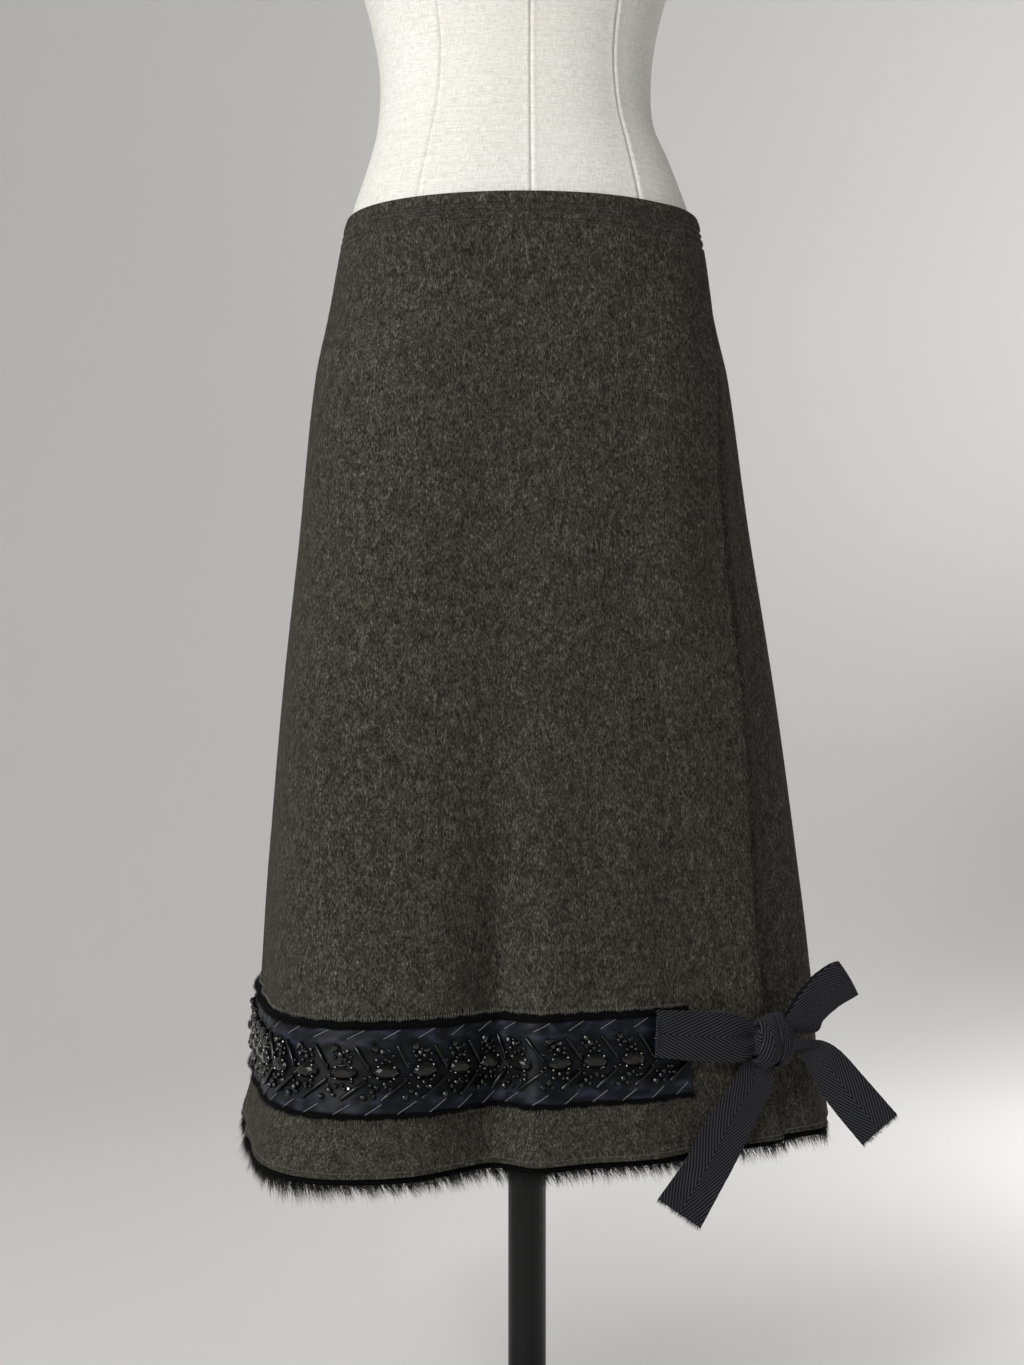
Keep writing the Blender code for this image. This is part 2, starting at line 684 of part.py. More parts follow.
def main():
    clear_scene()
    collection = bpy.data.collections.new("skirt_on_dress_form")
    bpy.context.scene.collection.children.link(collection)
    wool = make_material("olive_wool", (0.050, 0.047, 0.036), 0.95)
    satin = make_material("navy_beaded_ribbon", (0.020, 0.022, 0.036), 0.35)
    velvet = make_material("black_velvet", (0.006, 0.006, 0.008), 0.9)
    fur = make_material("black_fur", (0.010, 0.009, 0.009), 0.8)
    tape = make_material("charcoal_twill_tape", (0.045, 0.045, 0.055), 0.9)
    linen = make_material("ivory_linen", (0.72, 0.70, 0.66), 0.95)
    steel = make_material("black_steel", (0.012, 0.012, 0.013), 0.4, 0.6)

    build_form_torso(collection, linen)
    build_stand(collection, steel)
    build_skirt(collection, wool)
    build_fur(collection, fur)
    build_ribbon(collection, satin)
    build_trim_edges(collection, velvet)
    build_bow(collection, tape)


main()
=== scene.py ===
"""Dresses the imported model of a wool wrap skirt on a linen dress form.

Everything is in metres in the part's own frame: +Z is up, the form faces -Y and the pole stands on the
origin. A bearing is an angle round the pole in degrees: 0 is the front, 90 is +X, 180 is the back.
"""

import json
import math
from collections import namedtuple
from functools import lru_cache

import bmesh
import bpy
import numpy as np
from bpy.props import FloatProperty, FloatVectorProperty, IntProperty, PointerProperty
from mathutils import Matrix, Vector

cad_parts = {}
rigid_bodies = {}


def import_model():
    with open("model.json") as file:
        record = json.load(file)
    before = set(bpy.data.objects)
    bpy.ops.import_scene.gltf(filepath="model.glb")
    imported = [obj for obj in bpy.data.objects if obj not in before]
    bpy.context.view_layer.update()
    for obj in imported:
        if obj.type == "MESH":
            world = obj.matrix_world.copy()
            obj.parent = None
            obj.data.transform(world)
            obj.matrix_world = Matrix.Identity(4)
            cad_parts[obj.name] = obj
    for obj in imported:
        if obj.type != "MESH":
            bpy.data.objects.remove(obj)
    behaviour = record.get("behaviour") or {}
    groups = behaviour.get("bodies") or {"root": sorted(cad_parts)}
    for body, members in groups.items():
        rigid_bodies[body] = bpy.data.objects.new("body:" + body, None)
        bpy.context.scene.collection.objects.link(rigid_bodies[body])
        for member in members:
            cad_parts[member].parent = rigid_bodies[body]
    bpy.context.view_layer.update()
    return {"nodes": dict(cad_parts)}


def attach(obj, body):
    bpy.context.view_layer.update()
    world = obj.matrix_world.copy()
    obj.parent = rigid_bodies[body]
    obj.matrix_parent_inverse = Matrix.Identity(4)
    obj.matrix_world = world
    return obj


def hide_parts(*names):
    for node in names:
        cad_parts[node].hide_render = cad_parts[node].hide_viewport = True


bl_info = {
    "name": "Wrap skirt on a dress form",
    "version": (1, 0, 0),
    "blender": (4, 5, 0),
    "location": "View3D > Sidebar > Skirt",
    "description": "Wool wrap skirt with a beaded ribbon, a fur-edged hem and a bow of twill tape",
    "category": "Object",
}

for leftover in list(bpy.data.objects):
    bpy.data.objects.remove(leftover, do_unlink=True)
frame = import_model()

# Heights above the floor
HEM = 0.285
TRIM_BOTTOM = 0.322
TRIM_TOP = 0.387
SKIRT_SIDE_TOP = 0.9815
SKIRT_FRONT_RISE = 0.0045
FORM_BOTTOM = 0.800
FORM_TOP = 1.566
HUG_START = 0.86
HUG_END = 0.94
LAP_EASE_START = 0.90
LAP_EASE_END = 0.98

# Cloth, seams and laps
WOOL_GAP = 0.0007
WOOL_WALL = 0.0020
TRIM_GAP = 0.0008
LAP_STEP = 0.0036
LAP_EASE = 0.0007
LEFT_SEAM = -100.0
UNDERLAP = 13.0
LAP_CLIMB_START = UNDERLAP + 16.0
LAP_CLIMB_END = UNDERLAP + 2.0

# Ends of the ribbon's path and its two velvet edges
TRIM_FRONT_END = 36.08
TRIM_BACK_END = 113.56
TOP_EDGE_HEIGHT = 0.0055
BOTTOM_EDGE_HEIGHT = 0.0035

# Bow
KNOT_BEARING = 53.5
KNOT_HEIGHT = 0.3584
KNOT_HALF_LENGTH = 0.0165
KNOT_HALF_DEPTH = 0.0118
KNOT_HALF_HEIGHT = 0.0190
KNOT_OUT = KNOT_HALF_DEPTH - 0.0002
BOW_FACING = -8.0
MM = 0.001

FormSection = namedtuple("FormSection", "height half_width shift front back power")
FORM_SECTIONS = (
    FormSection(FORM_BOTTOM, 0.132, 0.005, 0.090, 0.104, 2.3),
    FormSection(0.806, 0.144, 0.005, 0.099, 0.116, 2.3),
    FormSection(0.820, 0.150, 0.005, 0.103, 0.121, 2.4),
    FormSection(0.850, 0.1535, 0.005, 0.106, 0.124, 2.4),
    FormSection(0.885, 0.1515, 0.005, 0.1065, 0.123, 2.4),
    FormSection(0.926, 0.1455, 0.005, 0.1060, 0.118, 2.4),
    FormSection(0.981, 0.1345, 0.0055, 0.1030, 0.107, 2.4),
    FormSection(1.030, 0.1180, 0.0065, 0.0940, 0.093, 2.3),
    FormSection(1.060, 0.1083, 0.0090, 0.0880, 0.087, 2.2),
    FormSection(1.100, 0.1068, 0.0090, 0.0830, 0.084, 2.2),
    FormSection(1.140, 0.1132, 0.0095, 0.0870, 0.088, 2.2),
    FormSection(1.170, 0.1215, 0.0095, 0.0930, 0.092, 2.2),
    FormSection(1.200, 0.1290, 0.0095, 0.1020, 0.096, 2.3),
    FormSection(1.230, 0.1350, 0.0095, 0.1130, 0.100, 2.4),
    FormSection(1.260, 0.1395, 0.0095, 0.1190, 0.103, 2.5),
    FormSection(1.285, 0.1420, 0.0095, 0.1175, 0.106, 2.5),
    FormSection(1.320, 0.1450, 0.0095, 0.1090, 0.108, 2.4),
    FormSection(1.360, 0.1520, 0.0095, 0.0960, 0.107, 2.3),
    FormSection(1.405, 0.1620, 0.0095, 0.0800, 0.099, 2.3),
    FormSection(1.430, 0.1580, 0.0095, 0.0720, 0.090, 2.3),
    FormSection(1.455, 0.1300, 0.0095, 0.0630, 0.078, 2.2),
    FormSection(1.478, 0.0880, 0.0090, 0.0560, 0.066, 2.1),
    FormSection(1.500, 0.0620, 0.0090, 0.0520, 0.057, 2.0),
    FormSection(1.530, 0.0560, 0.0090, 0.0510, 0.053, 2.0),
    FormSection(1.560, 0.0550, 0.0090, 0.0500, 0.052, 2.0),
    FormSection(FORM_TOP, 0.0480, 0.0090, 0.0430, 0.045, 2.0),
)

SkirtSection = namedtuple("SkirtSection", "height left right front back left_power right_power")
SKIRT_SECTIONS = (
    SkirtSection(HEM, 0.224, 0.2390, 0.176, 0.186, 2.8, 2.1),
    SkirtSection(TRIM_BOTTOM, 0.214, 0.2315, 0.161, 0.178, 2.8, 2.1),
    SkirtSection(TRIM_TOP, 0.209, 0.2265, 0.152, 0.172, 2.8, 2.1),
    SkirtSection(0.483, 0.2035, 0.215, 0.143, 0.162, 2.8, 2.1),
    SkirtSection(0.610, 0.1925, 0.197, 0.133, 0.152, 2.8, 2.2),
    SkirtSection(0.736, 0.1795, 0.177, 0.124, 0.141, 2.7, 2.2),
    SkirtSection(0.863, 0.166, 0.158, 0.116, 0.131, 2.6, 2.3),
    SkirtSection(0.926, 0.1530, 0.1430, 0.111, 0.122, 2.5, 2.4),
    SkirtSection(1.000, 0.130, 0.124, 0.100, 0.104, 2.4, 2.4),
)

WrapEdge = namedtuple("WrapEdge", "height bearing")
WRAP_EDGE = (
    WrapEdge(HEM, 55.0),
    WrapEdge(TRIM_TOP, 55.0),
    WrapEdge(0.450, 55.0),
    WrapEdge(0.610, 56.5),
    WrapEdge(0.736, 56.5),
    WrapEdge(0.840, 59.5),
    WrapEdge(0.926, 67.5),
    WrapEdge(1.000, 73.0),
)

# Each fold drifts from its top bearing to its hem bearing and grows from its start height to the hem
Fold = namedtuple("Fold", "name top_bearing hem_bearing half_width rise start growth")
FOLDS = (
    Fold("left front corner", -62.0, -42.0, 32.0, 0.048, 0.96, 1.4),
    Fold("left side hollow", -95.0, -86.0, 10.0, -0.004, 0.80, 1.6),
    Fold("front valley", -12.0, -18.0, 12.0, -0.019, 0.84, 2.0),
    Fold("front ridge", 6.0, -6.0, 14.0, 0.009, 0.80, 2.2),
    Fold("right front valley", 40.0, 40.0, 20.0, -0.015, 0.75, 2.0),
    Fold("hollow beside the wrap", 72.0, 59.0, 8.0, -0.007, 0.92, 0.8),
    Fold("right side ridge", 82.0, 68.0, 8.0, 0.006, 0.65, 1.4),
    Fold("right back ridge", 126.0, 130.0, 18.0, 0.013, 0.85, 1.8),
    Fold("centre back valley", 158.0, 160.0, 15.0, -0.010, 0.80, 1.8),
    Fold("centre back ridge", 188.0, 190.0, 16.0, 0.011, 0.84, 1.7),
    Fold("left back valley", 214.0, 216.0, 14.0, -0.009, 0.78, 1.8),
    Fold("left back ridge", 238.0, 240.0, 15.0, 0.010, 0.84, 1.8),
)

# Millimetres from the knot's centre: to the right, towards the viewer and up, for the tape's two edges
LEFT_LOOP = (
    (-10.5, 6.5, 12.0, -10.5, 7.5, -9.5),
    (-16.0, 7.0, 16.0, -16.0, 9.0, -9.0),
    (-28.5, 14.5, 22.0, -26.0, 16.0, -12.5),
    (-46.0, 23.5, 25.0, -46.0, 25.5, -11.0),
    (-66.5, 32.5, 27.5, -66.5, 35.0, -7.5),
    (-82.0, 39.0, 29.0, -83.5, 41.5, -4.5),
    (-87.5, 40.5, 29.0, -89.0, 43.5, -3.5),
    (-81.5, 35.0, 28.0, -83.5, 38.5, -4.0),
    (-66.0, 26.5, 25.0, -66.0, 29.5, -5.5),
    (-45.0, 14.5, 21.5, -45.0, 16.5, -8.0),
    (-27.5, 6.5, 16.5, -25.5, 8.0, -9.5),
    (-15.8, 1.5, 10.5, -15.8, 3.0, -7.5),
    (-9.5, 1.0, 8.0, -9.5, 2.0, -6.0),
)
LEFT_TAIL = (
    (-17.5, 3.0, -6.0, 3.5, -4.0, -9.0),
    (-23.5, 8.5, -16.0, 2.0, -1.5, -20.0),
    (-30.5, 14.0, -28.0, 1.0, 1.5, -33.5),
    (-38.5, 19.5, -38.0, -6.0, 8.0, -44.5),
    (-53.5, 32.0, -55.5, -20.5, 23.5, -66.5),
    (-67.5, 45.0, -77.0, -34.0, 36.5, -87.0),
    (-88.0, 57.0, -102.0, -57.5, 50.5, -124.0),
)
RIGHT_LOOP = (
    (5.5, 0.0, 9.0, 11.0, -6.0, 1.0),
    (9.6, 0.5, 14.8, 19.6, -9.0, 3.6),
    (14.0, 4.0, 23.5, 35.0, -10.0, 5.5),
    (21.0, 7.0, 35.5, 39.5, -9.0, 14.0),
    (31.0, 9.0, 48.0, 50.5, -7.0, 24.5),
    (42.0, 9.0, 57.0, 59.5, -7.0, 30.0),
    (48.0, 7.0, 59.5, 65.0, -9.0, 33.0),
    (41.0, 4.0, 56.5, 58.0, -12.0, 30.0),
    (29.0, 3.0, 47.5, 47.5, -13.0, 24.0),
    (19.0, 1.0, 36.5, 36.0, -15.0, 14.5),
    (12.0, -1.0, 25.0, 29.0, -15.0, 7.5),
    (9.0, -4.0, 17.0, 18.0, -14.0, 6.0),
)
RIGHT_TAIL = (
    (9.0, -1.0, 1.5, 9.0, -1.0, -6.0),
    (15.4, -2.0, 2.0, 15.0, -2.0, -7.5),
    (28.0, 0.0, 1.0, 22.5, -4.0, -12.0),
    (39.5, 0.0, -0.5, 26.5, -6.0, -19.5),
    (52.5, -2.0, -9.0, 33.0, -7.0, -31.5),
    (70.0, -6.0, -28.5, 44.5, -10.0, -49.5),
    (94.5, -10.0, -56.5, 69.5, -14.0, -80.0),
)

# The right tail's start, folded lengthwise over its crease
TAIL_TURN = (
    (11.0, 1.0, 4.2, 11.0, 1.0, -7.4),
    (14.0, 2.0, 3.8, 14.0, 2.2, -7.0),
    (19.5, 2.8, 2.6, 19.5, 3.0, -5.8),
    (25.0, 2.8, 1.2, 25.0, 2.8, -4.6),
    (30.5, 2.0, 0.1, 30.5, 1.8, -3.4),
    (35.0, 0.8, -1.0, 35.0, 0.6, -2.3),
)


# Settings that a user would change

def length_setting(name, description, default):
    return FloatProperty(name=name, description=description, default=default, unit="LENGTH", precision=5)


def colour_setting(name, description, default):
    return FloatVectorProperty(
        name=name, description=description, default=default, subtype="COLOR", size=3, min=0.0, max=1.0
    )


class SkirtClothSettings(bpy.types.PropertyGroup):
    thickness: length_setting("Wool thickness", "Thickness of the wool cloth", WOOL_WALL)
    grid: length_setting("Mesh step", "Distance between the wool's mesh points", 0.0055)
    shade: colour_setting("Dark wool", "The wool's colour between its fibres", (0.0128, 0.0122, 0.0094))
    light: colour_setting("Light wool", "The wool's lightest fibres", (0.143, 0.139, 0.111))
    nap_count: IntProperty(name="Nap fibres", description="Standing fibres on each panel", default=23500)
    nap_length: length_setting("Nap length", "Longest standing fibre", 0.0036)
    stitch: length_setting("Stitch length", "Length of one topstitch", 0.0032)


class SkirtFurSettings(bpy.types.PropertyGroup):
    count: IntProperty(name="Hairs", description="Hairs under each panel's hem", default=9000)
    length: length_setting("Hair length", "Usual length of a hair below its root", 0.0165)
    colour: colour_setting("Fur", "Colour of the fur", (0.0030, 0.0026, 0.0026))


class SkirtTrimSettings(bpy.types.PropertyGroup):
    satin: colour_setting("Satin", "Colour of the ribbon", (0.0058, 0.0071, 0.0114))
    velvet: colour_setting("Velvet", "Colour of the velvet edges", (0.0026, 0.0025, 0.0028))
    stone_length: length_setting("Stone length", "Long side of an oval stone", 0.0185)
    stone_width: length_setting("Stone width", "Short side of an oval stone", 0.0100)
    bugle: length_setting("Bugle radius", "Radius of a bugle bead", 0.00148)
    pile_count: IntProperty(name="Pile fibres", description="Fibres on each velvet edge", default=11500)


class SkirtBowSettings(bpy.types.PropertyGroup):
    thickness: length_setting("Tape thickness", "Thickness of the twill tape", 0.0011)
    twill: length_setting("Twill pitch", "Distance between two ribs of the herringbone", 0.0021)
    colour: colour_setting("Tape", "Colour of the tape's ribs", (0.0205, 0.0205, 0.0250))
    shade: colour_setting("Tape shade", "Colour between the tape's ribs", (0.0024, 0.0024, 0.0034))


class SkirtFormSettings(bpy.types.PropertyGroup):
    linen: colour_setting("Linen", "Colour of the dress form's linen", (0.80, 0.788, 0.752))
    seam_depth: length_setting("Seam depth", "How deep a seam lies in the linen", 0.0011)
    steel: colour_setting("Steel", "Colour of the stand", (0.0045, 0.0045, 0.0050))


class SkirtStageSettings(bpy.types.PropertyGroup):
    wall: colour_setting("Backdrop", "Colour of the floor and backdrop", (0.72, 0.715, 0.70))
    radius: length_setting("Backdrop radius", "From the pole to the backdrop", 5.2)
    key: FloatProperty(name="Key light", description="Power of the window-like light", default=155.0)
    fill: FloatProperty(name="Fill light", description="Power of the fill light", default=1.6)
    wall_power: FloatProperty(name="Wall light", description="Power of the backdrop's light", default=24.0)
    sky: FloatProperty(name="Room light", description="Strength of the light from all sides", default=0.205)


class SkirtSettings(bpy.types.PropertyGroup):
    cloth: PointerProperty(type=SkirtClothSettings)
    fur: PointerProperty(type=SkirtFurSettings)
    trim: PointerProperty(type=SkirtTrimSettings)
    bow: PointerProperty(type=SkirtBowSettings)
    form: PointerProperty(type=SkirtFormSettings)
    stage: PointerProperty(type=SkirtStageSettings)


# Shared maths, as in the part's source

def at_height(rows, height):
    """The table's columns at a height, on a smooth curve through its rows."""
    heights = [row.height for row in rows]
    height = min(max(height, heights[0]), heights[-1])
    upper = next(i for i in range(1, len(rows)) if height <= heights[i])
    lower = upper - 1
    span = heights[upper] - heights[lower]
    share = (height - heights[lower]) / span
    before, after = max(lower - 1, 0), min(upper + 1, len(rows) - 1)
    values = []
    for column in range(len(rows[0])):
        low, high = rows[lower][column], rows[upper][column]
        low_slope = (high - rows[before][column]) / (heights[upper] - heights[before]) * span
        high_slope = (rows[after][column] - low) / (heights[after] - heights[lower]) * span
        blend = share * share * (3 - 2 * share)
        bow = share * (1 - share) * (low_slope * (1 - share) - high_slope * share)
        values.append(low + (high - low) * blend + bow)
    return type(rows[0])(*values)


@lru_cache(maxsize=50000)
def form_section(height):
    return at_height(FORM_SECTIONS, height)


@lru_cache(maxsize=50000)
def skirt_section(height):
    return at_height(SKIRT_SECTIONS, height)


@lru_cache(maxsize=50000)
def wrap_bearing(height):
    return at_height(WRAP_EDGE, height).bearing


def ramp(value, start, end):
    """0 at start and 1 at end, with a smooth turn at both."""
    share = min(max((value - start) / (end - start), 0.0), 1.0)
    return share * share * (3 - 2 * share)


def bell(distance, half_width):
    """1 at no distance, falling smoothly to 0 at the half width."""
    return 1 - ramp(abs(distance), 0.0, half_width)


def away_from(bearing, other):
    """The signed angle from one bearing to another, from -180 to 180."""
    return (bearing - other + 180.0) % 360.0 - 180.0


def rounded_radius(bearing, left, right, front, back, left_power, right_power):
    """Radius of a rounded outline whose four half sizes and two corner powers are given."""
    sine, cosine = math.sin(math.radians(bearing)), math.cos(math.radians(bearing))
    side, power = (right, right_power) if sine > 0 else (left, left_power)
    depth = front if cosine > 0 else back
    return (abs(sine / side) ** power + abs(cosine / depth) ** power) ** (-1 / power)


def form_radius(bearing, height):
    """The dress form's surface."""
    s = form_section(height)
    left, right = s.half_width + s.shift, s.half_width - s.shift
    return rounded_radius(bearing, left, right, s.front, s.back, s.power, s.power)


def fold_rise(bearing, height):
    """How far the folds push the cloth out at this place."""
    total = 0.0
    for fold in FOLDS:
        drop = min(max((fold.start - height) / (fold.start - HEM), 0.0), 1.0)
        if not drop:
            continue
        centre = fold.hem_bearing + (fold.top_bearing - fold.hem_bearing) * (1 - drop)
        distance = away_from(bearing, centre)
        if abs(distance) < fold.half_width:
            total += fold.rise * drop**fold.growth * bell(distance, fold.half_width)
    return total


def wool_radius(bearing, height):
    """The skirt's outer surface, before the front panel laps over the back one."""
    s = skirt_section(height)
    free = rounded_radius(bearing, s.left, s.right, s.front, s.back, s.left_power, s.right_power)
    free += fold_rise(bearing, height)
    if height < FORM_BOTTOM:
        return free
    resting = form_radius(bearing, height) + WOOL_GAP + WOOL_WALL
    hug = ramp(height, HUG_START, HUG_END)
    return max(free + (resting - free) * hug, resting)


def front_radius(bearing, height):
    """The front panel, which climbs over the back panel's underlap before the wrap edge."""
    before_edge = wrap_bearing(height) - bearing
    step = LAP_STEP - LAP_EASE * ramp(height, LAP_EASE_START, LAP_EASE_END)
    return wool_radius(bearing, height) + step * (1 - ramp(before_edge, LAP_CLIMB_END, LAP_CLIMB_START))


def place(radius_at, bearing, height, out=0.0):
    """A point on a surface, moved out along the surface's level normal."""
    step = 0.4
    ring = []
    for turn in (-step, 0.0, step):
        angle = math.radians(bearing + turn)
        radius = radius_at(bearing + turn, height)
        ring.append(Vector((radius * math.sin(angle), -radius * math.cos(angle), height)))
    along = (ring[2] - ring[0]).normalized()
    return ring[1] + out * along.cross(Vector((0, 0, 1)))


def even_bearings(radius_at, start, end, step, height):
    """Bearings from start to end, spaced at equal lengths along the ring at a height."""
    samples = 400
    fine = [start + (end - start) * i / samples for i in range(samples + 1)]
    points = [place(radius_at, b, height) for b in fine]
    lengths = [0.0]
    for a, b in zip(points, points[1:]):
        lengths.append(lengths[-1] + (b - a).length)
    count = round(lengths[-1] / step)
    wanted = np.linspace(0.0, lengths[-1], count + 1)
    return [float(b) for b in np.interp(wanted, lengths, fine)]


def skirt_top(bearing):
    """Height of the waist edge, which rises a little at the front and back."""
    return SKIRT_SIDE_TOP + SKIRT_FRONT_RISE * math.cos(math.radians(bearing)) ** 2


def smooth_path(rows, steps):
    """Rows of vectors and numbers, on a smooth curve through the given ones."""
    count = len(rows)
    path = []
    for i in range(count - 1):
        before, a, b, after = rows[max(i - 1, 0)], rows[i], rows[i + 1], rows[min(i + 2, count - 1)]
        for k in range(steps):
            t = k / steps
            blended = []
            for p, q, r, s in zip(before, a, b, after):
                bend = p * 2 - q * 5 + r * 4 - s
                sway = q * 3 - p - r * 3 + s
                blended.append((q * 2 + (r - p) * t + bend * t**2 + sway * t**3) * 0.5)
            path.append(blended)
    path.append(list(rows[-1]))
    return path


# Shared building steps

def linked_object(name, mesh, material):
    mesh.materials.append(material)
    obj = bpy.data.objects.new(name, mesh)
    bpy.context.scene.collection.objects.link(obj)
    return obj


def from_bmesh(name, shape, material):
    mesh = bpy.data.meshes.new(name)
    shape.to_mesh(mesh)
    shape.free()
    obj = linked_object(name, mesh, material)
    mesh.shade_smooth()
    return obj


def settle(obj, slot, *nodes):
    """The piece rides on the part and stands for CAD nodes, which it hides; its slot is not used."""
    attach(obj, "root")
    if nodes:
        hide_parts(*nodes)


def sheet_object(name, rows, material, thickness, offset, weave=None, bevel=0.0, even=True):
    """A sheet: a grid whose vertices take rows of points, with its weave's own map, thickened by Solidify."""
    grid = bmesh.new()
    bmesh.ops.create_grid(grid, x_segments=len(rows[0]) - 1, y_segments=len(rows) - 1, size=1.0)
    grid.verts.index_update()
    for vert, point in zip(grid.verts, (point for row in rows for point in row)):
        vert.co = point
    if weave:
        flat = [spot for row in weave for spot in row]
        layer = grid.loops.layers.uv.new("weave")
        for face in grid.faces:
            for loop in face.loops:
                loop[layer].uv = flat[loop.vert.index]
    obj = from_bmesh(name, grid, material)
    wall = obj.modifiers.new("Wall", "SOLIDIFY")
    wall.thickness = thickness
    wall.offset = offset
    wall.use_even_offset = even
    if bevel:
        soften = obj.modifiers.new("Soft edge", "BEVEL")
        soften.width = bevel
        soften.segments = 2
        soften.limit_method = "ANGLE"
        soften.angle_limit = math.radians(50)
    return obj


def scatter(name, template, spots, frames, material, tints=None, smooth=True):
    """One mesh of many copies of a small shape. A frame's columns are where its X, Y and Z go."""
    template.verts.index_update()
    corners = np.array([v.co for v in template.verts])
    sides = [[v.index for v in face.verts] for face in template.faces]
    template.free()
    spots, frames = np.asarray(spots, float), np.asarray(frames, float)
    points = np.einsum("nij,kj->nki", frames, corners) + spots[:, None, :]
    size = len(corners)
    faces = [[i + size * k for i in side] for k in range(len(spots)) for side in sides]
    mesh = bpy.data.meshes.new(name)
    mesh.from_pydata(points.reshape(-1, 3).tolist(), [], faces)
    if tints is not None:
        tint = mesh.attributes.new("tint", "FLOAT", "POINT")
        tint.data.foreach_set("value", np.repeat(np.asarray(tints, np.float32), size))
    obj = linked_object(name, mesh, material)
    if smooth:
        mesh.shade_smooth()
    return obj


def spike(segments=1, bend=0.0):
    """A hair: a three-sided cone up +Z of radius and length 1, which bends towards +X."""
    hair = bmesh.new()
    raised = Matrix.Translation((0, 0, 0.5))
    bmesh.ops.create_cone(
        hair, cap_ends=True, segments=3, radius1=1.0, radius2=0.0, depth=1.0, matrix=raised
    )
    for k in range(1, segments):
        geometry = hair.verts[:] + hair.edges[:] + hair.faces[:]
        bmesh.ops.bisect_plane(hair, geom=geometry, plane_co=(0, 0, k / segments), plane_no=(0, 0, 1))
    for vert in hair.verts:
        vert.co.x += bend * vert.co.z**2
    return hair


def pebble(columns, rows):
    """A round bead of radius 1 with few faces."""
    bead = bmesh.new()
    bmesh.ops.create_uvsphere(bead, u_segments=columns, v_segments=rows, radius=1.0)
    return bead


def rod(sides=6, bevel=0.3):
    """A rod of radius 1 along +Z, from -0.5 to 0.5. With a bevel, its rims stop short of its ends."""
    rim = 0.93
    shape = bmesh.new()
    bmesh.ops.create_cone(shape, cap_ends=True, segments=sides, radius1=1.0, radius2=1.0, depth=1.0)
    if bevel:
        ends = [face for face in shape.faces if abs(face.normal.z) > 0.9]
        bmesh.ops.inset_region(shape, faces=ends, thickness=bevel, depth=0.0)
        for vert in shape.verts:
            if math.hypot(vert.co.x, vert.co.y) > 0.99:
                vert.co.z *= rim
    return shape


def unit(vectors):
    return vectors / np.maximum(np.linalg.norm(vectors, axis=-1, keepdims=True), 1e-12)


def frames_along(direction, facing, width, thickness, length):
    """Frames whose Z runs along a direction, whose Y faces out, scaled by the three sizes."""
    z = unit(np.asarray(direction, float))
    x = unit(np.cross(np.asarray(facing, float), z))
    y = np.cross(z, x)
    sizes = [np.broadcast_to(np.asarray(s, float), z.shape[:1])[:, None] for s in (width, thickness, length)]
    return np.stack([x * sizes[0], y * sizes[1], z * sizes[2]], axis=2)


class Patch:
    """A sheet's rows of points as an array, read at random places."""

    def __init__(self, rows):
        self.points = np.array([[tuple(p) for p in row] for row in rows])

    def sample(self, down, across):
        """Points, directions along the rows and up the columns, and normals, at shares of the grid."""
        rows, columns = self.points.shape[:2]
        i = np.clip((down * (rows - 1)).astype(int), 0, rows - 2)
        j = np.clip((across * (columns - 1)).astype(int), 0, columns - 2)
        u, v = (down * (rows - 1) - i)[:, None], (across * (columns - 1) - j)[:, None]
        a, b = self.points[i, j], self.points[i, j + 1]
        c, d = self.points[i + 1, j], self.points[i + 1, j + 1]
        spot = (a * (1 - v) + b * v) * (1 - u) + (c * (1 - v) + d * v) * u
        along, up = unit(b - a + d - c), unit(c - a + d - b)
        return spot, along, up, unit(np.cross(along, up))


class Copies:
    """Spots and frames of many copies of one small shape, gathered before they are made."""

    def __init__(self):
        self.spots = []
        self.frames = []

    def add(self, spots, frames):
        self.spots.extend(spots)
        self.frames.extend(frames)

    def make(self, name, template, material, slot, smooth=True):
        piece = scatter(name, template, self.spots, self.frames, material, smooth=smooth)
        settle(piece, slot)
        return piece


# Finishes

